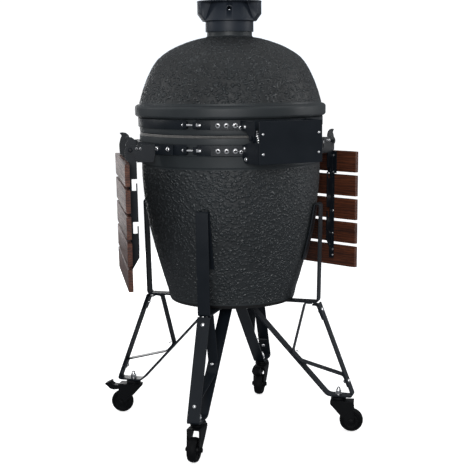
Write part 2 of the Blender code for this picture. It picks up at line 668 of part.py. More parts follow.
def make_table(side_name, side):
    turn = math.radians(-TABLE_TURN if side > 0 else 180 + TABLE_TURN)
    place = (PIVOT_R * math.cos(turn), PIVOT_R * math.sin(turn), PIVOT_Z)
    fold = axis_empty("fold_axis_" + side_name, place, (0, math.radians(TABLE_LEAN), turn))
    shift = side * TABLE_SHIFT
    for i in range(PLANK_COUNT):
        top = PLANK_TOP - i * PLANK_PITCH
        name = "plank_{}_{}".format(side_name, i + 1)
        plank = block(name, (PLANK_X, shift - PLANK_L / 2, top - PLANK_W),
                      (PLANK_X + PLANK_T, shift + PLANK_L / 2, top))
        soften(plank, 0.0012)
        dress(plank, WOOD, fold)
    hole = arc((0, 0), 0.0045, 0, 337.5, 15)
    strip_x = (PLANK_X - GAP - 0.0030, PLANK_X - GAP)
    for place_name, end in (("rear", side), ("front", -side)):
        y = shift + end * ARM_HALF_SPAN
        web = flat_plate("web", arm_outline(), ARM_T, [hole])
        web.data.transform(Matrix.Translation((0, y, 0)))
        wide = block("wide", (strip_x[0], y - 0.0170, -0.1000), (strip_x[1], y + 0.0170, -0.0320))
        narrow = block("narrow", (strip_x[0], y - 0.0090, -0.3660), (strip_x[1], y + 0.0090, -0.0900))
        arm = fuse("table_arm_{}_{}".format(side_name, place_name), [web, wide, narrow])
        dress(arm, BLACK_COAT, fold)
    make_table_bracket(side_name, side, turn, shift)


def make_table_bracket(side_name, side, turn, shift):
    """A strap bolted to the lower band, with an ear and a pivot pin for each arm."""
    pieces = []
    ends = []
    for end in (1, -1):
        arm_y = shift + end * side * ARM_HALF_SPAN
        ear_y = arm_y + end * side * (ARM_T + 0.0008)
        band_x = math.sqrt(STRAP_R[1] ** 2 - ear_y ** 2) - PIVOT_R - 0.0010
        ear = [(band_x, 0.0155), (band_x, -0.0120), (band_x + 0.0050, -0.0350), (-0.0190, -0.0350),
               (-0.0100, -0.0110), *arc((0, 0), 0.0135, -40, 110, 8)]
        plate = flat_plate("ear", ear, ARM_T)
        plate.data.transform(Matrix.Translation((PIVOT_R, ear_y, PIVOT_Z)))
        inward = -end * side
        pin = rod("pin", 0.0040, (PIVOT_R, ear_y, PIVOT_Z), (PIVOT_R, arm_y + inward * 0.0050, PIVOT_Z), 12)
        head = rod("head", 0.0075, (PIVOT_R, arm_y + inward * 0.0026, PIVOT_Z),
                   (PIVOT_R, arm_y + inward * 0.0060, PIVOT_Z), 12)
        pieces += [plate, pin, head]
        ends.append(math.degrees(math.asin(ear_y / STRAP_R[1])) + end * side * 15.5)
    strap = sector("strap", strap_section(LOWER_BAND_Z), min(ends), abs(ends[0] - ends[1]))
    bracket = fuse("table_bracket_" + side_name, [strap, *pieces])
    bracket.rotation_euler.z = turn
    dress(bracket, BLACK_COAT)


# ---------------------------------------------------------------- assembly
for old in list(bpy.data.objects):
    bpy.data.objects.remove(old, do_unlink=True)

PARTS = new_collection("kamado_grill")
CUTTERS = new_collection("cutters")

CERAMIC = new_material("glazed_ceramic", (0.045, 0.048, 0.050), 0.45)
CLAY = new_material("firebox_clay", (0.42, 0.36, 0.30), 0.85)
FELT = new_material("gasket_felt", (0.30, 0.30, 0.29), 0.90)
CAST_IRON = new_material("grate_iron", (0.05, 0.05, 0.05), 0.60, 0.8)
IRON_PAINT = new_material("vent_paint", (0.035, 0.037, 0.042), 0.50)
BLACK_COAT = new_material("powder_coat", (0.020, 0.021, 0.025), 0.50)
BLACK_PLASTIC = new_material("pedal_plastic", (0.015, 0.015, 0.016), 0.55)
STEEL = new_material("bright_steel", (0.62, 0.62, 0.63), 0.25, 1.0)
RUBBER = new_material("wheel_rubber", (0.018, 0.018, 0.020), 0.70)
WOOD = new_material("stained_wood", (0.18, 0.07, 0.035), 0.50)

LID_AXIS = axis_empty("lid_axis", (0.0, HINGE_Y, HINGE_Z))

make_bowl()
make_lid(LID_AXIS)
make_gaskets(LID_AXIS)
make_firebox()
make_grate("charcoal_grate", 0.1250, 0.5010, 0.0050, 0.0220, 0.0100, 0.0140)
make_grate("cooking_grate", 0.2320, 0.8040, 0.0050, 0.0240, 0.0160, 0.0120)
make_band("upper_band", UPPER_BAND_Z, LID_AXIS)
make_band("lower_band", LOWER_BAND_Z, None)
make_clamp_bolt("clamp_bolt_upper", UPPER_BAND_Z, LID_AXIS)
make_clamp_bolt("clamp_bolt_lower", LOWER_BAND_Z, None)
make_hinge(LID_AXIS)
make_spring("hinge_spring_left", -0.0865)
make_spring("hinge_spring_right", 0.0865)
make_handle(LID_AXIS)
make_thermometer(LID_AXIS)
make_vent(LID_AXIS)
make_draft()
make_cradle_straps()
for corner_name, leg_angle in LEG_ANGLES.items():
    make_leg(corner_name, leg_angle)
    make_caster(corner_name, leg_angle)
make_table("right", 1)
make_table("left", -1)
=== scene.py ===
"""Looks for a kamado ceramic grill in a wheeled cradle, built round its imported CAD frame.

Units are metres, +Z is up, the cook stands at -Y and the lid's hinge is at the rear, +Y.
"""
import math

import bmesh
import bpy
from mathutils import Matrix, Vector, noise


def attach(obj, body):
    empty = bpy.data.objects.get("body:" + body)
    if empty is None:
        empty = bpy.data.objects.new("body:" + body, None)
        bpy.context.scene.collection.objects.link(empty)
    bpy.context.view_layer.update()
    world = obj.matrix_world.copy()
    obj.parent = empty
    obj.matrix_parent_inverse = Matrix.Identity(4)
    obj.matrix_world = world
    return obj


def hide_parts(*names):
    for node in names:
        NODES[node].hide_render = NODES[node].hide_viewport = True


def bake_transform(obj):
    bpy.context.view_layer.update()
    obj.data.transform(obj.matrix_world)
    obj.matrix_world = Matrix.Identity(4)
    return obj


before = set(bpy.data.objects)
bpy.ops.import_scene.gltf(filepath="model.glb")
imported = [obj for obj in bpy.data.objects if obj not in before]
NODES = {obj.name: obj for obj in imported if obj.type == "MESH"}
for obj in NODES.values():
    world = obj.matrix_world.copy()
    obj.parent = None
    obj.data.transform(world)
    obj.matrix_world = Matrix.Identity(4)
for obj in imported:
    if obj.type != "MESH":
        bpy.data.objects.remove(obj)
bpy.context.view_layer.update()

# ---- sizes shared with the CAD
BOWL_BASE_Z = 0.3926
BOWL_LIP_Z = 0.8845
BOWL_SIDE = ((0.2632, 0.7990), (0.2632, 0.6890), (0.2430, 0.5850), (0.1932, 0.4250))
BOWL_INSIDE = ((0.1550, 0.4226), (0.2050, 0.5650), (0.2352, 0.6700), (0.2352, 0.8000))
INNER_LIP_R = 0.2440
LID_LIP_Z = 0.8917
GASKET_Z = ((0.8848, 0.8878), (0.8884, 0.8914))
RIM_R = 0.2803
DOME_SIDE = ((0.2134, 1.0973), (0.2389, 1.0673), (0.2586, 1.0095), (0.2672, 0.9765))
DOME_TOP = ((0.0700, 1.1630), (0.1500, 1.1480), (0.1964, 1.1173), (0.2134, 1.0973))
DOME_INSIDE = ((INNER_LIP_R, LID_LIP_Z), (INNER_LIP_R, 1.0200), (0.2250, 1.1300), (0.0500, 1.1430))
NECK_R = 0.0657
NECK_TOP_Z = 1.1900
BANDS = {"upper": (0.9085, 0.9335), "lower": (0.8375, 0.8660)}
BAND_R = (0.2686, 0.2718)
STRAP_OUT_R = 0.2758
HEAD_SINK = 0.0002           # how far a bolt head sinks into its seat
BOLT_SEAT_R = STRAP_OUT_R - HEAD_SINK
SPLIT_ANGLE = 38.9
SPLIT_HALF = 3.5
HINGE = (0.3180, 0.8877)
COVER_Y = (0.3470, 0.3500)
COVER_HALF_W = 0.0980
COVER_Z = (0.8185, 0.9335)
CHEEK_X = {"lower": 0.0970, "upper": 0.1020}
CHEEK_HALF_T = 0.0020
SPRING_X = 0.0890
SPRING_ENDS = ((0.3130, 0.9070), (0.3380, 0.8705))      # (y, z) on the lid, then on the bowl
GRIP_EYE = (0.3330, 0.9210)
GRIP_HALF = 0.1162
CROWN_TOP_Z = 1.2662
CROWN_R = 0.0940
COLLAR_R = 0.0700
COLLAR_Z = (1.1780, 1.2083)
CROWN_ANGLE = 62.3
LEG_ANGLES = {"rear_right": 45.0, "rear_left": 135.0, "front_left": 225.0, "front_right": 315.0}
TRAIL_ANGLES = {"rear_right": 45.0, "rear_left": 142.0, "front_left": 47.0, "front_right": 320.0}
STEM_R_FROM_AXIS = 0.3285
TRAIL = 0.0380
WHEEL_R = 0.0350
FORK_X = (-0.0240, 0.0455)
FORK_TOP_Z = 0.0935
PIVOT_R = 0.3080
PIVOT_Z = 0.8500
BRACKET_BOLT_Z = 0.8530
TABLE_TURN = 18.1
TABLE_LEAN = 0.55
TABLE_SHIFT = 0.0150
PLANK = {"x": 0.0090, "top": -0.0302, "pitch": 0.0733, "w": 0.0643, "t": 0.0140, "l": 0.4120}
ARM_HALF_SPAN = 0.1170
DRAFT_SLOPE = 0.313          # how the bowl leans out with height behind the draft frame
DRAFT_STANDOFF = 0.0036

# Legs, in the leg's own plane: distance from the axis and height, and for bolts also direction and radius
LEG_TAB = ((0.2500, 0.3806), (0.2650, 0.3806), (0.2824, 0.3374))
LEG_OUTWARD = (0.935, 0.0, 0.354)
LEG_INWARD = (-0.935, 0.0, -0.354)
LEG_BOLTS = (((0.2789, 0.3671), LEG_OUTWARD, 0.0062), ((0.3592, 0.1554), LEG_OUTWARD, 0.0054),
             ((0.2695, 0.3600), LEG_INWARD, 0.0056), ((0.3465, 0.1515), LEG_INWARD, 0.0056),
             ((0.2022, 0.2340), (0.734, 0.0, 0.679), 0.0050), ((0.2380, 0.3835), (0.0, 0.0, -1.0), 0.0050))

SKIN_STEPS = 500             # facets round the ceramic skins
CELL_DENSITY = 100.0         # cells of the crackle in a metre
CELL_DEPTH = 0.00095
CELL_SEED = 7                # mathutils seeds noise_vector from the clock unless it is told a seed
ROOM_LIGHT = 0.22            # brightness of the room that the grill reflects


# ---- materials
class Look:
    """A Principled material, and short calls that wire procedural detail into it."""

    def __init__(self, name, colour, roughness, metallic=0.0, **sockets):
        self.mat = bpy.data.materials.new(name)
        self.mat.use_nodes = True
        self.tree = self.mat.node_tree
        self.shader = self.tree.nodes["Principled BSDF"]
        self.shader.inputs["Base Color"].default_value = (*colour, 1.0)
        self.shader.inputs["Roughness"].default_value = roughness
        self.shader.inputs["Metallic"].default_value = metallic
        for socket, value in sockets.items():
            self.shader.inputs[socket.replace("_", " ")].default_value = value
        self.place = self.tree.nodes.new("ShaderNodeTexCoord").outputs["Object"]

    def node(self, kind, inputs=(), **settings):
        made = self.tree.nodes.new("ShaderNode" + kind)
        for key, value in settings.items():
            setattr(made, key, value)
        for key, value in dict(inputs).items():
            if isinstance(value, bpy.types.NodeSocket):
                self.tree.links.new(value, made.inputs[key])
            else:
                made.inputs[key].default_value = value
        return made

    def stretched(self, scale):
        return self.node("Mapping", {"Vector": self.place, "Scale": scale}).outputs[0]

    def noise(self, scale, detail=3.0, roughness=0.55, place=None):
        made = self.node("TexNoise", {"Vector": place or self.place, "Scale": scale,
                                      "Detail": detail, "Roughness": roughness})
        return made.outputs["Fac"]

    def warped(self, scale, amount):
        """Object coordinates shifted by a noise, so that cells are uneven."""
        wave = self.node("TexNoise", {"Vector": self.place, "Scale": scale, "Detail": 2.0})
        push = self.node("VectorMath", {0: wave.outputs["Color"], 1: (amount,) * 3}, operation="MULTIPLY")
        return self.node("VectorMath", {0: self.place, 1: push.outputs[0]}, operation="ADD").outputs[0]

    def span(self, value, low, high, to_low=0.0, to_high=1.0):
        made = self.node("MapRange", {"Value": value, "From Min": low, "From Max": high,
                                      "To Min": to_low, "To Max": to_high}, interpolation_type="SMOOTHSTEP")
        return made.outputs["Result"]

    def ramp(self, factor, *stops):
        made = self.node("ValToRGB", {"Fac": factor})
        ramp = made.color_ramp
        while len(ramp.elements) < len(stops):
            ramp.elements.new(0.5)
        for element, (place, colour) in zip(ramp.elements, stops):
            element.position = place
            element.color = (*colour, 1.0)
        return made.outputs["Color"]

    def math(self, operation, a, b):
        return self.node("Math", {0: a, 1: b}, operation=operation).outputs[0]

    def paint(self, colour=None, roughness=None):
        for socket, source in (("Base Color", colour), ("Roughness", roughness)):
            if source is not None:
                self.tree.links.new(source, self.shader.inputs[socket])

    def bump(self, height, distance, strength=1.0):
        """One more layer of bump over those already there."""
        made = self.node("Bump", {"Height": height, "Distance": distance, "Strength": strength})
        normal = self.shader.inputs["Normal"]
        if normal.is_linked:
            self.tree.links.new(normal.links[0].from_socket, made.inputs["Normal"])
        self.tree.links.new(made.outputs[0], normal)


def shades(colour, low, high):
    """A darker and a lighter shade of a colour."""
    return tuple(c * low for c in colour), tuple(c * high for c in colour)


def crackle_look(name, depth, dark, light, scale):
    """A satin glaze over soft, uneven pebbles, painted darker in the valleys and lighter on the tops as
    painted shade and light of the relief.
    """
    look = Look(name, (0.030, 0.036, 0.039), 0.45, Specular_IOR_Level=0.55)
    place = look.node("Mapping", {"Vector": look.warped(75.0, 0.016), "Scale": (1.0, 1.0, 1.25)}).outputs[0]
    near = look.node("TexVoronoi", {"Vector": place, "Scale": scale, "Smoothness": 0.35},
                     feature="SMOOTH_F1").outputs["Distance"]
    pebble = look.span(near, 0.66, 0.10)
    patch = look.noise(9.0, 4.0)
    # The tone mixes random patches with painted shade in the valleys and painted light on the pebble tops.
    tone = look.math("ADD", look.math("MULTIPLY", pebble, 0.45), look.math("MULTIPLY", patch, 0.6))
    low, high = shades((0.025, 0.030, 0.033), dark, light)
    look.paint(look.ramp(tone, (0.25, low), (0.85, high)), look.span(pebble, 0.1, 0.8, 0.56, 0.34))
    look.bump(pebble, depth, 1.0)
    look.bump(look.noise(420.0, 3.0), 0.00025, 0.6)
    return look


def plain_look(name, colour, roughness, grain, depth, spread=0.18, metallic=0.0, **sockets):
    """A painted, moulded or cast surface: fine grain, soft patches and uneven gloss."""
    look = Look(name, colour, roughness, metallic, **sockets)
    patch = look.noise(14.0, 5.0)
    fine = look.noise(grain, 3.0)
    mixed = look.math("ADD", look.math("MULTIPLY", patch, 0.6), look.math("MULTIPLY", fine, 0.4))
    low, high = shades(colour, 1.0 - 1.6 * spread, 1.0 + 1.6 * spread)
    look.paint(look.ramp(mixed, (0.25, low), (0.75, high)),
               look.span(mixed, 0.3, 0.7, roughness - 0.07, roughness + 0.07))
    look.bump(fine, depth, 0.8)
    return look


def brushed_look(name, colour, roughness, stretch):
    look = Look(name, colour, roughness, 1.0)
    streak = look.noise(1.0, 4.0, 0.6, look.stretched(stretch))
    low, high = shades(colour, 0.82, 1.12)
    look.paint(look.ramp(streak, (0.3, low), (0.7, high)),
               look.span(streak, 0.3, 0.7, roughness - 0.08, roughness + 0.10))
    look.bump(streak, 0.00004, 0.6)
    return look


def wood_look():
    """Stained hardwood whose grain runs along the piece's own Y axis."""
    look = Look("stained_wood", (0.10, 0.04, 0.02), 0.46, Specular_IOR_Level=0.45)
    rings = look.noise(1.0, 5.0, 0.62, look.stretched((46.0, 3.2, 46.0)))
    figure = look.node("TexWave", {"Vector": look.stretched((1.0, 0.10, 1.0)), "Scale": 42.0,
                                   "Distortion": 9.0, "Detail": 3.0, "Detail Scale": 1.6},
                       bands_direction="Z").outputs["Fac"]
    pores = look.noise(1.0, 2.0, 0.5, look.stretched((900.0, 34.0, 900.0)))
    tone = look.math("ADD", look.math("MULTIPLY", rings, 0.75), look.math("MULTIPLY", figure, 0.25))
    open_pore = look.span(pores, 0.34, 0.50)
    tone = look.math("MULTIPLY", tone, look.span(open_pore, 0.0, 1.0, 0.66, 1.0))
    look.paint(look.ramp(tone, (0.18, (0.016, 0.0055, 0.0035)), (0.42, (0.064, 0.017, 0.0070)),
                         (0.62, (0.125, 0.036, 0.015)), (0.86, (0.195, 0.066, 0.028))),
               look.span(tone, 0.2, 0.8, 0.56, 0.40))
    look.bump(open_pore, 0.00025, 0.6)
    look.bump(rings, 0.00035, 0.5)
    return look


def felt_look():
    look = Look("gasket_felt", (0.11, 0.105, 0.10), 0.95, Sheen_Weight=0.3)
    fibre = look.noise(900.0, 5.0, 0.7)
    look.paint(look.ramp(fibre, (0.3, (0.045, 0.044, 0.042)), (0.7, (0.21, 0.205, 0.195))))
    look.bump(fibre, 0.0005, 1.0)
    return look


BOWL_CRACKLE = crackle_look("bowl_crackle_glaze", 0.0026, 0.55, 1.25, 108.0)
DOME_CRACKLE = crackle_look("dome_crackle_glaze", 0.0042, 0.36, 1.22, 92.0)
GLAZE = plain_look("smooth_glaze", (0.022, 0.027, 0.030), 0.52, 600.0, 0.00018, 0.12, Specular_IOR_Level=0.42)
CLAY = plain_look("firebox_clay", (0.40, 0.33, 0.26), 0.88, 260.0, 0.0006)
FELT = felt_look()
IRON = plain_look("grate_iron", (0.030, 0.030, 0.031), 0.62, 420.0, 0.00045, 0.25, 0.55)
VENT_PAINT = plain_look("vent_paint", (0.0185, 0.0245, 0.0350), 0.50, 900.0, 0.00012, 0.12,
                        Specular_IOR_Level=0.33)
COAT = plain_look("powder_coat", (0.0055, 0.0084, 0.0125), 0.42, 1300.0, 0.00012, 0.12,
                  Specular_IOR_Level=0.28)
PLASTIC = plain_look("caster_plastic", (0.0022, 0.0026, 0.0034), 0.50, 700.0, 0.00010, 0.15,
                     Specular_IOR_Level=0.15)
RUBBER = plain_look("wheel_rubber", (0.0026, 0.0029, 0.0036), 0.66, 520.0, 0.00025, 0.2,
                    Specular_IOR_Level=0.12)
CHROME = plain_look("plated_steel", (0.90, 0.90, 0.91), 0.30, 300.0, 0.00004, 0.05, 1.0)
STEEL = brushed_look("brushed_steel", (0.50, 0.50, 0.51), 0.34, (900.0, 900.0, 14.0))
# Near-black painted shade, put in bolt sockets and on the bowl's foot where shade falls.
PAINTED_SHADE = plain_look("painted_shade_recess", (0.004, 0.004, 0.0045), 0.6, 500.0, 0.0001)
WOOD = wood_look()
DIAL = plain_look("dial_face", (0.78, 0.77, 0.73), 0.55, 500.0, 0.00003, 0.04)
INK = plain_look("dial_ink", (0.02, 0.02, 0.02), 0.6, 500.0, 0.00002)
GLASS = Look("dial_glass", (1.0, 1.0, 1.0), 0.03, 0.0, Transmission_Weight=1.0, IOR=1.45)


# ---- shape helpers
def bezier(points, count):
    """Points along a cubic curve, both ends included."""
    p0, p1, p2, p3 = (Vector(p) for p in points)
    curve = []
    for i in range(count + 1):
        t = i / count
        s = 1.0 - t
        curve.append(tuple(p0 * s ** 3 + p1 * 3 * s * s * t + p2 * 3 * s * t * t + p3 * t ** 3))
    return curve


def arc(centre, radius, start, stop, count):
    """Points on an arc in degrees, both ends included."""
    angles = [math.radians(start + (stop - start) * i / count) for i in range(count + 1)]
    return [(centre[0] + radius * math.cos(a), centre[1] + radius * math.sin(a)) for a in angles]


def rounded(path, radius, count=3, closed=False):
    """A path with each corner replaced by a short curve."""
    path = [Vector(p) for p in path]
    if closed:
        triples = zip([path[-1]] + path[:-1], path, path[1:] + path[:1])
    else:
        triples = zip(path, path[1:], path[2:])
    smooth = [] if closed else [path[0]]
    for before, corner, after in triples:
        back, ahead = before - corner, after - corner
        reach = min(radius, back.length * 0.45, ahead.length * 0.45)
        start = corner + back.normalized() * reach
        stop = corner + ahead.normalized() * reach
        for i in range(count + 1):
            t = i / count
            smooth.append(start * (1 - t) ** 2 + corner * 2 * t * (1 - t) + stop * t * t)
    if not closed:
        smooth.append(path[-1])
    return [tuple(p) for p in smooth]


def polar(radius, degrees, z=0.0):
    """A point from its distance and direction from +X."""
    return Vector((radius * math.cos(math.radians(degrees)), radius * math.sin(math.radians(degrees)), z))


def linked(name, data):
    """A new object in the scene."""
    obj = bpy.data.objects.new(name, data)
    bpy.context.scene.collection.objects.link(obj)
    return obj


def spin(degrees, axis="Z"):
    return Matrix.Rotation(math.radians(degrees), 4, axis)


def mesh_object(name, points, faces, look, sharp=35.0):
    mesh = bpy.data.meshes.new(name)
    mesh.from_pydata([tuple(p) for p in points], [], faces)
    return shaded(name, mesh, look, sharp)


def shaded(name, mesh, look, sharp=35.0):
    """An object from a mesh, with outward faces, its material and smooth shading."""
    bm = bmesh.new()
    bm.from_mesh(mesh)
    bmesh.ops.recalc_face_normals(bm, faces=bm.faces)
    bm.to_mesh(mesh)
    bm.free()
    mesh.materials.append(look.mat)
    mesh.shade_smooth()
    mesh.set_sharp_from_angle(angle=math.radians(sharp))
    return linked(name, mesh)


def turned(name, rows, look, steps=96, closed=False, hexed=(), relief=None):
    """Rows of (radius, height) turned about Z. Rows named in hexed are hexagons."""
    points, rings = [], []
    for number, (r, z) in enumerate(rows):
        if r < 1e-7:
            rings.append([len(points)])
            points.append(Vector((0.0, 0.0, z)))
            continue
        rings.append(list(range(len(points), len(points) + steps)))
        for i in range(steps):
            turn = 360.0 * i / steps
            reach = r
            if number in hexed:
                reach = r / math.cos(math.radians((turn + 30.0) % 60.0 - 30.0))
            points.append(polar(reach, turn, z))
    if relief:
        relief(points, rings, rows)
    faces = []
    for a, b in list(zip(rings, rings[1:])) + ([(rings[-1], rings[0])] if closed else []):
        for i in range(steps):
            j = (i + 1) % steps
            if len(a) == 1:
                faces.append((a[0], b[i], b[j]))
            elif len(b) == 1:
                faces.append((a[i], b[0], a[j]))
            else:
                faces.append((a[i], b[i], b[j], a[j]))
    return mesh_object(name, points, faces, look)


def disc(name, radius, low, high, look, steps):
    return turned(name, [(0, high), (radius, high), (radius, low), (0, low)], look, steps)


def tube_faces(around, along):
    """Faces of a closed section repeated along a path, with both ends shut."""
    faces = []
    for i in range(along):
        for k in range(around):
            m = (k + 1) % around
            faces.append((i * around + k, i * around + m, (i + 1) * around + m, (i + 1) * around + k))
    return faces + [tuple(range(around)), tuple(range(along * around, (along + 1) * around))]


def swept(name, section, start, sweep, look, steps):
    """A closed (radius, height) section swept through part of a turn about Z, with ends."""
    points = []
    for i in range(steps + 1):
        points += [polar(r, start + sweep * i / steps, z) for r, z in section]
    return mesh_object(name, points, tube_faces(len(section), steps), look)


def box_section(r_range, z_range, corner=0.0006):
    """A rounded rectangle as a (radius, height) section."""
    (r0, r1), (z0, z1) = r_range, z_range
    return rounded([(r0, z0), (r1, z0), (r1, z1), (r0, z1)], corner, 2, True)


def slab(name, outline, thickness, look, edge=0.0, segments=2):
    """An (x, z) outline given a thickness about Y = 0, with softened edges."""
    count = len(outline)
    points = [(x, -thickness / 2, z) for x, z in outline] + [(x, thickness / 2, z) for x, z in outline]
    faces = [tuple(range(count)), tuple(range(2 * count - 1, count - 1, -1))]
    faces += [(k, (k + 1) % count, count + (k + 1) % count, count + k) for k in range(count)]
    obj = mesh_object(name, points, faces, look)
    if edge:
        soften(obj, edge, segments)
    return obj


def block(name, low, high, look, edge=0.0, segments=2):
    middle_y = (low[1] + high[1]) / 2
    outline = [(low[0], low[2]), (high[0], low[2]), (high[0], high[2]), (low[0], high[2])]
    obj = slab(name, outline, high[1] - low[1], look, edge, segments)
    obj.data.transform(Matrix.Translation((0.0, middle_y, 0.0)))
    return obj


def soften(obj, width, segments=2, angle=30.0):
    edge = obj.modifiers.new("edges", "BEVEL")
    edge.width = width
    edge.segments = segments
    edge.limit_method = "ANGLE"
    edge.angle_limit = math.radians(angle)
    edge.harden_normals = True


def baked(obj):
    """The object with its modifiers applied."""
    evaluated = obj.evaluated_get(bpy.context.evaluated_depsgraph_get())
    mesh = bpy.data.meshes.new_from_object(evaluated)
    obj.modifiers.clear()
    obj.data = mesh
    return obj


def repaint(obj, look, first, last=None):
    """Faces from first up to last, in the order they were made, take one more material."""
    obj.data.materials.append(look.mat)
    for face in obj.data.polygons[first:last]:
        face.material_index = len(obj.data.materials) - 1


def combine(obj, other, operation):
    """A Boolean with another object, which is used up."""
    bpy.context.view_layer.update()
    change = obj.modifiers.new("change", "BOOLEAN")
    change.operation = operation
    change.solver = "EXACT"
    change.object = other
    baked(obj)
    bpy.data.objects.remove(other, do_unlink=True)
    obj.data.shade_smooth()
    obj.data.set_sharp_from_angle(angle=math.radians(35))
    return obj


def joined(name, pieces, body, nodes=()):
    """One piece from several, each baked in place, riding on a body."""
    bpy.context.view_layer.update()
    bm = bmesh.new()
    materials = []
    for piece in pieces:
        evaluated = piece.evaluated_get(bpy.context.evaluated_depsgraph_get())
        mesh = bpy.data.meshes.new_from_object(evaluated)
        mesh.transform(piece.matrix_world)
        offset = []
        for mat in mesh.materials:
            if mat not in materials:
                materials.append(mat)
            offset.append(materials.index(mat))
        for face in mesh.polygons:
            face.material_index = offset[face.material_index]
        bm.from_mesh(mesh)
    mesh = bpy.data.meshes.new(name)
    bm.to_mesh(mesh)
    bm.free()
    for piece in pieces:
        bpy.data.objects.remove(piece, do_unlink=True)
    for mat in materials:
        mesh.materials.append(mat)
    return dressed(linked(name, mesh), body, nodes)


def dressed(obj, body, nodes=()):
    """Put a piece on its body and the CAD nodes it stands for."""
    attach(obj, body)
    if nodes:
        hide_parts(*nodes)
    return obj


def placed(obj, matrix):
    obj.data.transform(matrix)
    return obj


def aimed(origin, direction, up=(0.0, 0.0, 1.0)):
    """A matrix that carries +Z to a direction and the origin to a point."""
    z = Vector(direction).normalized()
    x = Vector(up).cross(z)
    if x.length < 1e-6:
        x = Vector((1.0, 0.0, 0.0))
    x.normalize()
    y = z.cross(x)
    turn = Matrix((x, y, z)).transposed().to_4x4()
    return Matrix.Translation(Vector(origin)) @ turn


def polish(node, look, edge=0.0):
    """A CAD node keeps its shape and gets a finish, and slightly rounded edges if edge is given."""
    obj = NODES[node]
    mesh = obj.data
    mesh.materials.clear()
    mesh.materials.append(look.mat)
    normals = mesh.attributes.get("custom_normal")
    if normals:
        mesh.attributes.remove(normals)
    mesh.shade_smooth()
    weld = obj.modifiers.new("weld", "WELD")
    weld.merge_threshold = 0.00001
    flat = obj.modifiers.new("flat", "DECIMATE")
    flat.decimate_type = "DISSOLVE"
    flat.angle_limit = math.radians(0.5)
    if edge:
        soften(obj, edge, 2)
    else:
        split = obj.modifiers.new("split", "EDGE_SPLIT")
        split.split_angle = math.radians(30)
    return obj


# ---- fasteners
def fastener(kind, radius, height, look=None):
    """A bolt head, nut or screw, standing on the XY plane."""
    look = look or CHROME
    r, h = radius, height
    if kind == "button":
        rows = [(0, 0.20 * h), (0.42 * r, 0.20 * h), (0.45 * r, 0.94 * h), (0.52 * r, h),
                (0.66 * r, 0.96 * h), (0.86 * r, 0.72 * h), (0.97 * r, 0.36 * h), (r, 0.12 * h),
                (0.98 * r, 0.0), (0, 0.0)]
        head = turned("button", rows, look, 24, hexed=(1, 2))
        # The socket is painted near black as painted shade in the recess.
        repaint(head, PAINTED_SHADE, 0, 2 * 24)
        return head
    if kind == "dome":
        cap = arc((0.0, 0.0), 1.0, 90, 12, 8)
        return turned("dome", [(x * r, z * h) for x, z in cap] + [(r, 0.0), (0, 0.0)], look, 24)
    if kind == "hex":
        rows = [(0, h), (0.80 * r, h), (r, 0.88 * h), (r, 0.22 * h), (1.02 * r, 0.22 * h),
                (1.32 * r, 0.18 * h), (1.34 * r, 0.0), (0, 0.0)]
        return turned("hex", rows, look, 24, hexed=(2, 3))
    if kind == "acorn":
        dome = arc((0.0, 0.52 * h), 0.80 * r, 90, 8, 6)
        dome = [(x, 0.52 * h + (z - 0.52 * h) * 0.48 * h / (0.80 * r)) for x, z in dome]
        rows = dome + [(0.90 * r, 0.50 * h), (r, 0.46 * h), (r, 0.10 * h), (1.22 * r, 0.08 * h),
                       (1.24 * r, 0), (0, 0)]
        return turned("acorn", rows, look, 24, hexed=(8, 9))
    rows = [(0, 0.62 * h), (0.30 * r, 0.70 * h), (0.36 * r, h), (0.70 * r, 0.92 * h), (0.95 * r, 0.50 * h),
            (r, 0.0), (0, 0.0)]
    return turned("screw", rows, look, 18)


def fasteners(name, body, specs):
    """Several fasteners as one piece.

    Each spec is a kind, place, direction, radius and height, and maybe a look.
    """
    heads = []
    for kind, place, direction, radius, height, *look in specs:
        heads.append(placed(fastener(kind, radius, height, *look), aimed(place, direction)))
    return joined(name, heads, body)


def strap_bolt(turn, z, radius, height, seat=BOLT_SEAT_R):
    """The spec of a round head that faces straight out of a strap."""
    way = polar(1.0, turn)
    return "button", way * seat + Vector((0, 0, z)), way, radius, height


# ---- ceramic skins
def crackle_height(point):
    """How far the glaze stands up at a point: flat-topped cells with grooves between."""
    place = Vector((point.x, point.y, point.z * 1.3)) * CELL_DENSITY + noise.noise_vector(point * 60.0) * 0.5
    near, far = noise.voronoi(place)[0][:2]
    cell = min(1.0, (far - near) * 2.4)
    return cell * cell * (3.0 - 2.0 * cell) - 0.6 + 0.3 * noise.noise(point * 45.0)


def crackled(spans, fade=4):
    """A relief function for turned() that raises cells on some spans of rows."""
    def relief(points, rings, rows):
        for first, last in spans:
            for number in range(first, last + 1):
                (r0, z0), (r1, z1) = rows[number - 1], rows[number + 1]
                slope = Vector((z0 - z1, r1 - r0)).normalized()
                strength = min(1.0, (number - first + 1) / fade, (last - number + 1) / fade) * CELL_DEPTH
                for index in rings[number]:
                    point = points[index]
                    out = Vector((point.x, point.y, 0.0)).normalized() * slope.x
                    out.z = slope.y
                    points[index] = point + out * crackle_height(point) * strength
    return relief


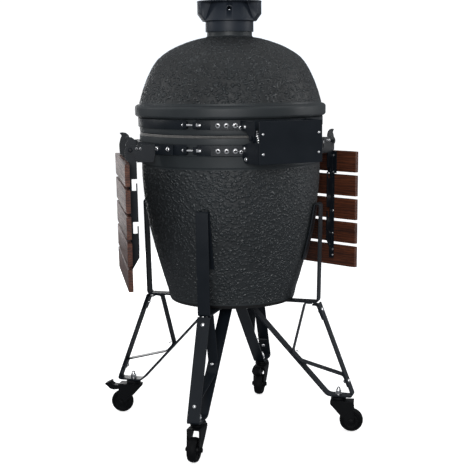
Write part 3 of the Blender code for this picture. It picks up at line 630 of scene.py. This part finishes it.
def make_bowl():
    side = bezier(BOWL_SIDE, 128)
    low = side[-1]
    side += [(low[0] - 0.0047 * i / 7, low[1] - 0.0217 * i / 7) for i in range(1, 8)]
    inside = bezier(BOWL_INSIDE, 12)
    lip = rounded([inside[-1], (0.2400, 0.8350), (INNER_LIP_R, BOWL_LIP_Z), (0.2680, BOWL_LIP_Z),
                   (0.2680, 0.8672), (0.2674, 0.8664), (0.2674, 0.8358), (0.2657, 0.8345), (0.2652, 0.8032),
                   (0.2634, 0.8002), side[0]], 0.0014, 3)
    foot = rounded([side[-1], (0.1885, 0.4025), (0.1850, BOWL_BASE_Z), (0.0, BOWL_BASE_Z)], 0.0022, 3)
    rows = [(0.0, inside[0][1]), *inside[:-1], *lip[:-1], *side[:-1], *foot]
    first = 1 + len(inside) - 1 + len(lip) - 1
    last = first + len(side) - 2
    bowl = turned("bowl_glazed", rows, GLAZE, SKIN_STEPS, relief=crackled([(first + 1, last)]))
    repaint(bowl, BOWL_CRACKLE, (first + 1) * SKIN_STEPS, last * SKIN_STEPS)
    # The foot and underside are painted near black as painted shade at the bowl's base.
    repaint(bowl, PAINTED_SHADE, (last + 3) * SKIN_STEPS)
    window = block("window", (-0.0400, -0.2600, 0.4380), (0.0400, -0.1100, 0.4740), GLAZE)
    combine(bowl, window, "DIFFERENCE")
    return dressed(bowl, "base", ["bowl"])


def make_lid():
    top = bezier(DOME_TOP, 64)
    side = bezier(DOME_SIDE, 52)
    neck = rounded([(NECK_R, NECK_TOP_Z), (NECK_R, 1.1655), top[0]], 0.0030, 4)
    edge = RIM_R - 0.0055
    rim = rounded([side[-1], (0.2676, 0.9722), (edge, 0.9708), (RIM_R, 0.9655), (RIM_R, 0.9418),
                   (edge, 0.9367), (0.2674, 0.9358), (0.2674, 0.8990), (0.2662, LID_LIP_Z),
                   (INNER_LIP_R, LID_LIP_Z)], 0.0030, 4)
    inside = bezier(DOME_INSIDE, 16)
    rows = [*neck[:-1], *top[:-1], *side[:-1], *rim[:-1], *inside, (0.0500, NECK_TOP_Z)]
    first = len(neck) - 1
    last = first + len(top) + len(side) - 3
    lid = turned("lid_glazed", rows, GLAZE, SKIN_STEPS, True, relief=crackled([(first + 1, last)]))
    repaint(lid, DOME_CRACKLE, (first + 1) * SKIN_STEPS, last * SKIN_STEPS)
    return dressed(lid, "lid", ["lid"])


def make_gaskets():
    for name, body, (low, high) in (("bowl_gasket", "base", GASKET_Z[0]), ("lid_gasket", "lid", GASKET_Z[1])):
        section = rounded([(0.2664, high), (0.2664, low), (0.2442, low), (0.2442, high)], 0.0010, 3, True)
        ring = turned(name + "_felt", section, FELT, 240, True)
        dressed(ring, body, [name])


# ---- bands
def make_bands():
    for which, body in (("upper", "lid"), ("lower", "base")):
        low, high = BANDS[which]
        start = SPLIT_ANGLE + SPLIT_HALF
        ring = swept("band", box_section(BAND_R, (low, high)), start, 360 - 2 * SPLIT_HALF, COAT, 300)
        dressed(ring, body, [which + "_band"])
        ring.name = which + "_band_ring"
        make_clamp(which, body, (low + high) / 2)
        bolts = []
        for side in (1, -1):
            for turn in (25.0, 30.0, 34.8):
                bolts.append(strap_bolt(90.0 - side * turn, (low + high) / 2 - 0.0012, 0.0078, 0.0042))
        fasteners(which + "_band_bolts", body, bolts)


def make_clamp(which, body, z):
    """The band's folded ends, and the threaded bolt that pulls them together."""
    lugs = []
    section = rounded([(0.2706, z - 0.0098), (0.2812, z - 0.0098), (0.2826, z - 0.0076), (0.2826, z + 0.0076),
                       (0.2812, z + 0.0098), (0.2706, z + 0.0098)], 0.0016, 3, True)
    for near, far in ((2.0, 4.3), (-2.0, -3.9)):
        lug = swept("lug", section, SPLIT_ANGLE + near, far - near, COAT, 6)
        soften(lug, 0.0005)
        lugs.append(lug)
        foot = math.copysign(2.2, far)
        lugs.append(swept("lug_foot", box_section((0.2712, 0.2748), (z - 0.0112, z + 0.0112), 0.001),
                          SPLIT_ANGLE + far - 0.4 * foot, foot, COAT, 6))
    joined(which + "_band_lugs", lugs, body)
    out = polar(1.0, SPLIT_ANGLE)
    along = polar(1.0, SPLIT_ANGLE + 90.0)
    centre = out * 0.2774 + Vector((0, 0, z))
    pitch = 0.0008
    rows = [(0.0, -0.0250), (0.0030, -0.0250)]
    for i in range(64):
        rows.append((0.0034 if i % 2 else 0.0029, -0.0245 + i * pitch))
    rows += [(0.0028, 0.0270), (0.0, 0.0272)]
    rod = placed(turned("rod", rows, CHROME, 14), aimed(centre, along))
    nut = placed(fastener("hex", 0.0046, 0.0125), aimed(centre + along * 0.0208, along))
    head = placed(fastener("button", 0.0056, 0.0045), aimed(centre - along * 0.0194, -along))
    joined(which + "_clamp_bolt", [rod, nut, head], body, ["clamp_bolt_" + which])


# ---- hinge
def make_hinge():
    for node in ("hinge_lower_bracket", "hinge_upper_bracket"):
        polish(node, COAT, 0.0006)
    polish("hinge_pin", COAT, 0.0005)
    half, (low, high) = COVER_HALF_W, COVER_Z
    middle = (low + high) / 2
    outline = rounded([(-half, low), (half, low), (half, high), (-half, high)], 0.0045, 5, True)
    cover = slab("hinge_cover_plate", outline, COVER_Y[1] - COVER_Y[0], COAT, 0.0009, 3)
    placed(cover, Matrix.Translation((0, sum(COVER_Y) / 2, 0)))
    dressed(baked(cover), "base", ["hinge_cover"])
    screws = []
    for x in (-0.0868, 0.0868):
        for z in (middle - 0.0300, middle + 0.0235):
            screws.append(("screw", (x, COVER_Y[1] - HEAD_SINK, z), (0, 1, 0), 0.0034, 0.0016))
    fasteners("hinge_cover_screws", "base", screws)
    lower, upper = [], []
    for side in (-1, 1):
        out = Vector((side, 0, 0))
        face = side * (CHEEK_X["lower"] + CHEEK_HALF_T - HEAD_SINK / 2)
        lower += [("button", (face, 0.2690, 0.8580), out, 0.0052, 0.0034),
                  ("button", (face, 0.2780, 0.8290), out, 0.0060, 0.0036),
                  ("hex", (side * 0.1058, HINGE[0], HINGE[1]), out, 0.0052, 0.0036, COAT)]
        lower.append(strap_bolt(90.0 - side * 21.7, 0.8480, 0.0060, 0.0036))
        upper.append(strap_bolt(90.0 - side * 22.1, 0.9140, 0.0056, 0.0040, STRAP_OUT_R + 0.0004))
        face = side * (CHEEK_X["upper"] + CHEEK_HALF_T - HEAD_SINK / 2)
        upper.append(("button", (face, 0.2820, 0.9165), out, 0.0052, 0.0034))
    fasteners("hinge_lower_bolts", "base", lower)
    fasteners("hinge_upper_bolts", "lid", upper)
    for side, x in (("left", -SPRING_X), ("right", SPRING_X)):
        make_spring(side, x)


def make_spring(side, x):
    """A coil between the brackets of lid and bowl."""
    top, bottom = (Vector((x, y, z)) for y, z in SPRING_ENDS)
    axis = (bottom - top).normalized()
    out = Vector((1, 0, 0))
    across = axis.cross(out)
    turns, per_turn, radius, wire, facets = 7, 24, 0.0048, 0.00115, 8
    points = []
    count = turns * per_turn
    for i in range(count + 1):
        angle = 2 * math.pi * i / per_turn
        radial = out * math.cos(angle) + across * math.sin(angle)
        centre = top.lerp(bottom, i / count) + radial * radius
        for k in range(facets):
            turn = 2 * math.pi * k / facets
            points.append(centre + (radial * math.cos(turn) + axis * math.sin(turn)) * wire)
    spring = mesh_object("hinge_coil_" + side, points, tube_faces(facets, count), CHROME)
    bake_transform(spring)
    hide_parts("hinge_spring_" + side)


# ---- handle and thermometer
def make_handle():
    polish("handle_bracket", COAT, 0.0006)
    r, half = 0.0170, GRIP_HALF
    swell = [(r - 0.0016 + 0.0016 * math.cos(math.pi * (i / 12 - 1)) ** 2, half * (1 - i / 6) * 0.93)
             for i in range(13)]
    rows = [(0, half), (0.0146, half), (0.0162, half - 0.0012), *swell, (0.0162, 0.0012 - half),
            (0.0146, -half), (0, -half)]
    grip = turned("grip", rows, WOOD, 48)
    placed(grip, Matrix.Rotation(math.pi / 2, 4, "X"))
    grip.matrix_world = (Matrix.Translation((0, -GRIP_EYE[0], GRIP_EYE[1]))
                         @ Matrix.Rotation(math.pi / 2, 4, "Z"))
    grip.name = "handle_grip_turned"
    dressed(grip, "lid", ["handle_grip"])
    ends = []
    for side in (-1, 1):
        out = Vector((side, 0, 0))
        ends.append(("button", Vector((side * 0.1213, -GRIP_EYE[0], GRIP_EYE[1])), out, 0.0070, 0.0042))
        for turn in (21.5, 25.0):
            ends.append(strap_bolt(270 + side * turn, GRIP_EYE[1], 0.0056, 0.0034))
    fasteners("handle_bolts", "lid", ends)


def gauge_frame():
    """The thermometer's seat on the dome, as a matrix with +Z out of the dome."""
    dome = bezier(DOME_SIDE, 6)
    (r1, z1), (r0, z0) = dome[2], dome[3]
    out = Vector((0.0, -(z1 - z0), r0 - r1))
    return aimed((0.0, -(r0 + r1) / 2, (z0 + z1) / 2), out)


def make_thermometer():
    seat = gauge_frame()
    rows = [(0.0, 0.0120), (0.0296, 0.0120), (0.0300, 0.0162), (0.0312, 0.0174), (0.0334, 0.0175),
            (0.0350, 0.0166), (0.0358, 0.0148), (0.0360, 0.0050), (0.0352, 0.0020), (0.0200, 0.0014),
            (0.0060, 0.0014), (0.0060, -0.0060), (0.0040, -0.0070), (0.0038, -0.0630), (0.0, -0.0650)]
    case = turned("case", rows, CHROME, 72)
    face = disc("face", 0.0294, 0.0121, 0.0126, DIAL, 72)
    pieces = [placed(case, seat), placed(face, seat)]
    low, sweep, count = 225.0, -270.0, 36
    for i in range(count + 1):
        long = i % 4 == 0
        inner = 0.0232 if long else 0.0252
        turn = low + sweep * i / count
        width = 0.0006 if long else 0.00035
        tick = block("tick", (inner, -width, 0.01255), (0.0276, width, 0.01285), INK)
        pieces.append(placed(tick, seat @ spin(turn)))
        if i % 8 == 0:
            pieces.append(number_on(seat, str(50 + i * 10), polar(0.0185, turn, 0.01265)))
    needle = slab("needle", [(-0.0070, -0.0011), (0.0215, -0.0003), (0.0215, 0.0003), (-0.0070, 0.0011)],
                  0.0006, INK)
    placed(needle, seat @ Matrix.Translation((0, 0, 0.0137)) @ spin(200)
           @ Matrix.Rotation(math.pi / 2, 4, "X"))
    knob = [(0, 0.0147), (0.0024, 0.0145), (0.0030, 0.0138), (0.0030, 0.0127), (0, 0.0127)]
    hub = placed(turned("hub", knob, INK, 24), seat)
    joined("thermometer_gauge", pieces + [needle, hub], "lid", ["thermometer"])
    lens = [(0, 0.0168), (0.0150, 0.0166), (0.0292, 0.0158), (0.0292, 0.0152), (0.0150, 0.0158), (0, 0.0160)]
    dressed(placed(turned("thermometer_glass", lens, GLASS, 72), seat), "lid")


def number_on(seat, text, place):
    """A flat number on the dial."""
    curve = bpy.data.curves.new("number", "FONT")
    curve.body = text
    curve.size = 0.0062
    curve.align_x = "CENTER"
    curve.align_y = "CENTER"
    curve.extrude = 0.0001
    curve.resolution_u = 3
    source = linked("number", curve)
    mesh = bpy.data.meshes.new_from_object(source.evaluated_get(bpy.context.evaluated_depsgraph_get()))
    bpy.data.objects.remove(source, do_unlink=True)
    mesh.transform(seat @ Matrix.Translation(place))
    mesh.materials.clear()
    return shaded("number", mesh, INK)


# ---- vent
def make_vent():
    bottom, top = COLLAR_Z
    seat = NECK_TOP_Z + 0.0006
    rows = rounded([(0.0625, top), (COLLAR_R, top), (COLLAR_R, bottom), (NECK_R + 0.0008, bottom),
                    (NECK_R + 0.0008, seat), (0.0520, seat), (0.0520, seat + 0.0040),
                    (0.0625, seat + 0.0040)], 0.0008, 3, True)
    collar = turned("vent_collar_cast", rows, VENT_PAINT, 160, True)
    dressed(collar, "lid", ["vent_collar"])
    base = top + 0.0006
    under = CROWN_TOP_Z - 0.0038
    rows = [(0.0, CROWN_TOP_Z), (CROWN_R - 0.0008, CROWN_TOP_Z), (CROWN_R, CROWN_TOP_Z - 0.0009),
            (CROWN_R, under + 0.0006), (CROWN_R - 0.0008, under), (0.0625, under), (0.0607, under - 0.0014),
            (0.0790, base + 0.0040), (0.0793, base + 0.0028), (0.0793, base + 0.0006), (0.0787, base),
            (0.0745, base), (0.0560, 1.2590), (0.0, 1.2590)]
    crown = turned("vent_cap", rows, VENT_PAINT, 192)
    section = [(0.0585, under + 0.0010), (CROWN_R - 0.0006, under + 0.0010), (CROWN_R - 0.0006, 1.2290),
               (0.0790, base + 0.0004), (0.0765, base + 0.0004)]
    for side in (-1, 1):
        grip = swept("grip", section, CROWN_ANGLE + side * 90 - 29, 58, VENT_PAINT, 29)
        soften(grip, 0.0010)
        combine(crown, baked(grip), "UNION")
    along = polar(0.1, CROWN_ANGLE)
    middle = Vector((0, 0, 1.2425))
    for side in (-1, 1):
        boss = turned("boss", [(0, 0.0), (0.0104, 0.0), (0.0104, 0.0095), (0.0096, 0.0105), (0, 0.0105)],
                      VENT_PAINT, 40)
        placed(boss, aimed(middle + along * side * 0.560, along * side))
        combine(crown, boss, "UNION")
    sink = [(0, 0.1), (0.0075, 0.1), (0.0075, 0.0645), (0.0042, 0.0610), (0.0042, -0.0610), (0.0075, -0.0645),
            (0.0075, -0.1), (0, -0.1)]
    combine(crown, placed(turned("hole", sink, VENT_PAINT, 40), aimed(middle, along)), "DIFFERENCE")
    dressed(crown, "vent_cap", ["vent_crown"])
    screws = [("button", middle + polar(0.0640, CROWN_ANGLE + turn, -0.0060),
               polar(1.0, CROWN_ANGLE + turn, 0.3), 0.0030, 0.0020, VENT_PAINT)
              for turn in (26, -26, 154, -154)]
    fasteners("vent_cap_screws", "vent_cap", screws)


# ---- draft, firebox, grates
def make_inside():
    polish("draft_frame", STEEL, 0.0004)
    polish("draft_door", STEEL, 0.0004)
    polish("firebox", CLAY)
    polish("charcoal_grate", IRON, 0.0008)
    polish("cooking_grate", IRON, 0.0010)
    screws = []
    low_r, low_z = BOWL_SIDE[-1]
    for turn in (254.4, 312.1):
        for z in (0.4345, 0.4795):
            r = low_r + DRAFT_SLOPE * (z - low_z) + DRAFT_STANDOFF
            screws.append(("button", polar(r, turn, z), polar(1.0, turn, -0.30), 0.0026, 0.0018))
    fasteners("draft_screws", "base", screws)


# ---- cradle and legs
def make_cradle():
    for node in ("cradle_strap_a", "cradle_strap_b"):
        polish(node, COAT, 0.0009)
    for corner, angle in LEG_ANGLES.items():
        polish("leg_" + corner, COAT, 0.0009)
        polish("brace_" + corner, COAT, 0.0007)
        turn = spin(angle)
        tab = strap("tab", LEG_TAB, 0.0300, 0.0034, COAT)
        joined("leg_tab_" + corner, [placed(tab, turn)], "base")
        specs = []
        for (r, z), direction, radius in LEG_BOLTS:
            where = turn @ Vector((r, 0, z))
            specs.append(("dome", where, turn.to_3x3() @ Vector(direction), radius, 0.0036))
        fasteners("leg_bolts_" + corner, "base", specs)


def strap(name, path, width, thickness, look):
    """A flat bar bent along an (x, z) path."""
    path = rounded(path, 0.0060, 4)
    sides = ([], [])
    for i, point in enumerate(path):
        before, after = path[max(i - 1, 0)], path[min(i + 1, len(path) - 1)]
        along = (Vector(after) - Vector(before)).normalized()
        for side, sign in zip(sides, (1, -1)):
            side.append((point[0] - along.y * sign * thickness / 2,
                         point[1] + along.x * sign * thickness / 2))
    return slab(name, sides[0] + sides[1][::-1], width, look, 0.0006)


# ---- casters
def caster_turn(corner):
    """A caster's own frame: its origin under the stem, and +X the way that its wheel trails."""
    stem = polar(STEM_R_FROM_AXIS, LEG_ANGLES[corner])
    return Matrix.Translation(stem) @ spin(TRAIL_ANGLES[corner])


def make_casters():
    for corner in LEG_ANGLES:
        make_fork(corner, caster_turn(corner))
        make_wheel(corner, caster_turn(corner))
    for corner in ("front_left", "front_right"):
        make_pedal(corner, caster_turn(corner))


def make_fork(corner, turn):
    axle = (TRAIL, WHEEL_R)
    back, ahead = FORK_X
    outline = [(back, FORK_TOP_Z), (back, 0.0850), (0.0035, 0.0545), *arc(axle, 0.0108, 222, 372, 12),
               (0.0445, 0.0800), (ahead, FORK_TOP_Z)]
    rib_line = [(-0.0200, 0.0920), (-0.0190, 0.0870), (0.0080, 0.0600), (0.0260, 0.0530),
                (0.0360, 0.0620), (0.0400, 0.0900)]
    pieces = []
    for side in (-1, 1):
        cheek = slab("cheek", rounded(outline, 0.0030, 3, True), 0.0026, PLASTIC, 0.0006)
        pieces.append(placed(cheek, Matrix.Translation((0, side * 0.0178, 0))))
        rib = slab("rib", rounded(rib_line, 0.0040, 3, True), 0.0010, PLASTIC, 0.0004)
        pieces.append(placed(rib, Matrix.Translation((0, side * 0.0195, 0))))
    pieces.append(block("top", (back, -0.0190, 0.0912), (ahead, 0.0190, 0.0942), PLASTIC, 0.0007))
    race = [(0, 0.1070), (0.0130, 0.1070), (0.0190, 0.1063), (0.0215, 0.1044), (0.0227, 0.1022),
            (0.0222, 0.1002), (0.0202, 0.0994), (0.0202, 0.0984), (0.0225, 0.0976), (0.0225, 0.0944),
            (0.0196, 0.0934), (0, 0.0934)]
    pieces.append(turned("race", race, PLASTIC, 56))
    pieces.append(disc("post", 0.0050, 0.1000, 0.1200, PLASTIC, 24))
    for side in (-1, 1):
        pieces.append(placed(fastener("hex", 0.0060, 0.0056, PLASTIC),
                             aimed((TRAIL, side * 0.0190, WHEEL_R), (0, side, 0))))
    shaft = disc("shaft", 0.0040, -0.0195, 0.0195, CHROME, 20)
    pieces.append(placed(shaft, aimed((TRAIL, 0, WHEEL_R), (0, 1, 0))))
    nut = placed(fastener("acorn", 0.0078, 0.0222, CHROME), Matrix.Translation((0, 0, 0.1128)))
    pieces.append(nut)
    pieces = [placed(piece, turn) for piece in pieces]
    joined("caster_" + corner, pieces, "swivel_" + corner, ["caster_fork_" + corner])


def make_wheel(corner, turn):
    half = [(0.0262, 0.0126), (0.0290, 0.0128), (0.0318, 0.0116), (0.0341, 0.0072), (WHEEL_R, 0.0020)]
    tread = rounded(half + [(r, -z) for r, z in half[::-1]], 0.0016, 3, True)
    tyre = turned("tyre", tread, RUBBER, 72, True)
    half = [(0.0264, -0.0110), (0.0240, -0.0112), (0.0226, -0.0085), (0.0125, -0.0085), (0.0110, -0.0120),
            (0.0100, -0.0155), (0.0046, -0.0155)]
    other = [(r, -z) for r, z in half]
    hub = rounded([other[0], *half, *other[:0:-1]], 0.0008, 2, True)
    core = turned("hub", hub, PLASTIC, 60, True)
    pieces = [tyre, core]
    for side in (-1, 1):
        for i in range(6):
            spoke = block("spoke", (0.0100, -0.0014, side * 0.0098 - 0.0012),
                          (0.0236, 0.0014, side * 0.0098 + 0.0012), PLASTIC, 0.0005)
            pieces.append(placed(spoke, spin(60 * i)))
    place = turn @ aimed((TRAIL, 0, WHEEL_R), (0, 1, 0))
    pieces = [placed(piece, place) for piece in pieces]
    joined("caster_wheel_" + corner, pieces, "wheel_" + corner, ["wheel_" + corner])


def make_pedal(corner, turn):
    """A foot pedal with a ribbed tread and a hinge barrel."""
    place = turn @ Matrix.Translation((0.0330, 0, 0.0830))
    outline = rounded([(-0.0080, -0.0055), (0.0160, -0.0080), (0.0310, -0.0105), (0.0420, -0.0075),
                       (0.0500, 0.0000), (0.0585, 0.0060), (0.0580, 0.0090), (0.0430, 0.0165),
                       (0.0385, 0.0160), (0.0380, 0.0095), (0.0300, 0.0050), (0.0150, 0.0050),
                       (-0.0080, 0.0085)], 0.0013, 3, True)
    pieces = [slab("arm", outline, 0.0260, PLASTIC, 0.0012)]
    for i in range(3):
        x = 0.0415 + 0.0048 * i
        rib = block("rib", (x, -0.0122, 0.0110 - 0.0022 * i), (x + 0.0022, 0.0122, 0.0164 - 0.0024 * i),
                    PLASTIC, 0.0006)
        pieces.append(rib)
    barrel = turned("barrel", [(0, 0.0128), (0.0048, 0.0128), (0.0056, 0.0118), (0.0056, -0.0118),
                               (0.0048, -0.0128), (0, -0.0128)], PLASTIC, 32)
    pieces.append(placed(barrel, aimed((0, 0, 0.001), (0, 1, 0))))
    pieces = [placed(piece, place) for piece in pieces]
    joined("foot_pedal_" + corner, pieces, "pedal_" + corner, ["brake_pedal_" + corner])


# ---- side tables
def make_tables():
    for side_name, side in (("right", 1), ("left", -1)):
        turn = math.radians(-TABLE_TURN if side > 0 else 180 + TABLE_TURN)
        hang = (Matrix.Translation(Vector((PIVOT_R * math.cos(turn), PIVOT_R * math.sin(turn), PIVOT_Z)))
                @ Matrix.Rotation(turn, 4, "Z") @ spin(TABLE_LEAN, "Y"))
        shift = side * TABLE_SHIFT
        for i in range(5):
            make_plank(side_name, i, hang, shift)
        screws, body = [], side_name + "_table"
        for end, where in ((side, "rear"), (-side, "front")):
            polish("table_arm_{}_{}".format(side_name, where), COAT, 0.0006)
            y = shift + end * ARM_HALF_SPAN
            for z, r in ((-0.0450, 0.0034), (-0.0960, 0.0034), (-0.2170, 0.0036),
                         (-0.2870, 0.0034), (-0.3380, 0.0036), (-0.3560, 0.0034)):
                inward = PLANK["x"] - 0.0032
                spot = hang @ Vector((inward, y + end * 0.0058, z))
                screws.append(("screw", spot, hang.to_3x3() @ Vector((-1, 0, 0)), r, 0.0016))
        fasteners("table_screws_" + side_name, body, screws)
        make_bracket(side_name, side, turn, shift)


def make_plank(side_name, i, hang, shift):
    top = PLANK["top"] - i * PLANK["pitch"]
    size = (PLANK["t"], PLANK["l"], PLANK["w"])
    name = "slat_{}_{}".format(side_name, i + 1)
    cuts = 24
    outline = rounded([(-size[0] / 2, -size[2] / 2), (size[0] / 2, -size[2] / 2), (size[0] / 2, size[2] / 2),
                       (-size[0] / 2, size[2] / 2)], 0.0022, 3, True)
    points = []
    drift = 7.3 * i + (31.0 if side_name == "left" else 0.0)
    for k in range(cuts + 1):
        y = size[1] * (k / cuts - 0.5)
        pull = 1.0 - 0.06 * (k in (0, cuts))
        wave = 0.00025 * noise.noise(Vector((drift, y * 9.0, 0.0)))
        points += [(x * pull, y, z * (1.0 - 0.012 * (k in (0, cuts))) + wave) for x, z in outline]
    plank = mesh_object(name, points, tube_faces(len(outline), cuts), WOOD)
    middle = Vector((PLANK["x"] + size[0] / 2, shift, top - size[2] / 2))
    # The mesh keeps its own axes, so that the grain runs along it, and is moved along its grain for variety.
    along = Vector((drift, 1.7 * drift, 0.6 * drift))
    placed(plank, Matrix.Translation(along))
    plank.matrix_world = hang @ Matrix.Translation(middle - along)
    dressed(plank, side_name + "_table", ["plank_{}_{}".format(side_name, i + 1)])


def make_bracket(side_name, side, turn, shift):
    polish("table_bracket_" + side_name, COAT, 0.0006)
    bolts = []
    for end in (1, -1):
        ear_y = shift + end * side * (ARM_HALF_SPAN + 0.0048)
        foot = math.degrees(math.asin(ear_y / STRAP_OUT_R)) + math.degrees(turn)
        for extra in (2.3, 11.6):
            bolts.append(strap_bolt(foot + end * side * extra, BRACKET_BOLT_Z, 0.0066, 0.0038))
        matrix = Matrix.Rotation(turn, 4, "Z")
        out = matrix.to_3x3() @ Vector((0, end * side, 0))
        seat_y = ear_y + end * side * 0.0019
        for x in (0.2795, 0.2900):
            bolts.append(("button", matrix @ Vector((x, seat_y, BRACKET_BOLT_Z)), out, 0.0044, 0.0040))
        bolts.append(("button", matrix @ Vector((PIVOT_R, seat_y, PIVOT_Z)), out, 0.0068, 0.0036, COAT))
    fasteners("table_bracket_bolts_" + side_name, "base", bolts)


# ---- stage, light and camera
CAMERA = {"distance": 3.1852, "height": 1.0673, "turn": 27.67, "pitch": 8.588, "roll": 0.575, "aim": 0.0512,
          "lens": 83.1}


def make_camera():
    spin = math.radians(CAMERA["turn"])
    place = Vector((math.sin(spin), math.cos(spin), 0.0)) * CAMERA["distance"]
    heading = math.atan2(-place.y, -place.x) - math.radians(CAMERA["aim"])
    place.z = CAMERA["height"]
    pitch = math.radians(CAMERA["pitch"])
    level = math.cos(pitch)
    forward = Vector((math.cos(heading) * level, math.sin(heading) * level, -math.sin(pitch)))
    camera = linked("camera", bpy.data.cameras.new("camera"))
    camera.data.sensor_width = 36.0
    camera.data.lens = CAMERA["lens"]
    camera.rotation_mode = "QUATERNION"
    camera.location = place
    roll = Matrix.Rotation(math.radians(-CAMERA["roll"]), 3, "Z").to_quaternion()
    camera.rotation_quaternion = forward.to_track_quat("-Z", "Y") @ roll
    bpy.context.scene.camera = camera


def softbox(name, turn, distance, height, size, power, target=(0.0, 0.0, 0.75)):
    """An area light. turn is in degrees from the camera's side, positive to the picture's left."""
    lamp = bpy.data.lights.new(name, "AREA")
    lamp.shape = "RECTANGLE"
    lamp.size, lamp.size_y = size
    lamp.energy = power
    obj = linked(name, lamp)
    way = math.radians(CAMERA["turn"] + turn)
    obj.location = (math.sin(way) * distance, math.cos(way) * distance, height)
    aim = Vector(target) - obj.location
    obj.rotation_mode = "QUATERNION"
    obj.rotation_quaternion = aim.to_track_quat("-Z", "Y")
    obj.visible_camera = False


def make_stage():
    floor_look = plain_look("floor", (0.90, 0.90, 0.90), 0.9, 60.0, 0.0001, 0.01, 0.0,
                            Emission_Color=(1.0, 1.0, 1.0, 1.0), Emission_Strength=0.66)
    reach, depth = 60, -0.0002
    corners = [(-reach, -reach), (reach, -reach), (reach, reach), (-reach, reach)]
    floor = mesh_object("floor", [Vector((x, y, depth)) for x, y in corners], [(0, 1, 2, 3)], floor_look)
    floor.visible_diffuse = False
    floor.visible_glossy = False
    world = bpy.data.worlds.new("studio")
    world.use_nodes = True
    nodes, links = world.node_tree.nodes, world.node_tree.links
    sky = nodes["Background"]
    sky.inputs["Color"].default_value = (0.93, 0.98, 1.05, 1.0)
    # The backdrop reads white, while the light that it throws on the grill stays low.
    seen = nodes.new("ShaderNodeMapRange")
    seen.inputs["To Min"].default_value = ROOM_LIGHT
    seen.inputs["To Max"].default_value = 1.1
    links.new(nodes.new("ShaderNodeLightPath").outputs["Is Camera Ray"], seen.inputs["Value"])
    links.new(seen.outputs["Result"], sky.inputs["Strength"])
    bpy.context.scene.world = world
    bpy.context.scene.view_settings.view_transform = "Standard"
    overhead = bpy.data.lights.new("overhead", "SUN")
    overhead.energy = 0.85
    overhead.angle = math.radians(100)
    linked("overhead", overhead)
    softbox("strip_left", 98.0, 2.6, 1.9, (0.25, 1.3), 13.0, (0.0, 0.0, 1.0))
    softbox("strip_right", -95.0, 2.6, 1.5, (0.25, 2.0), 19.0, (0.0, 0.0, 0.9))
    softbox("rim_left", 161.0, 3.2, 0.9, (1.4, 1.6), 22.0)
    softbox("front", 5.0, 4.2, 1.65, (1.1, 1.1), 88.0)


# ---- assembly
noise.seed_set(CELL_SEED)
make_camera()
make_stage()
make_bowl()
make_lid()
make_gaskets()
make_bands()
make_hinge()
make_handle()
make_thermometer()
make_vent()
make_inside()
make_cradle()
make_casters()
make_tables()
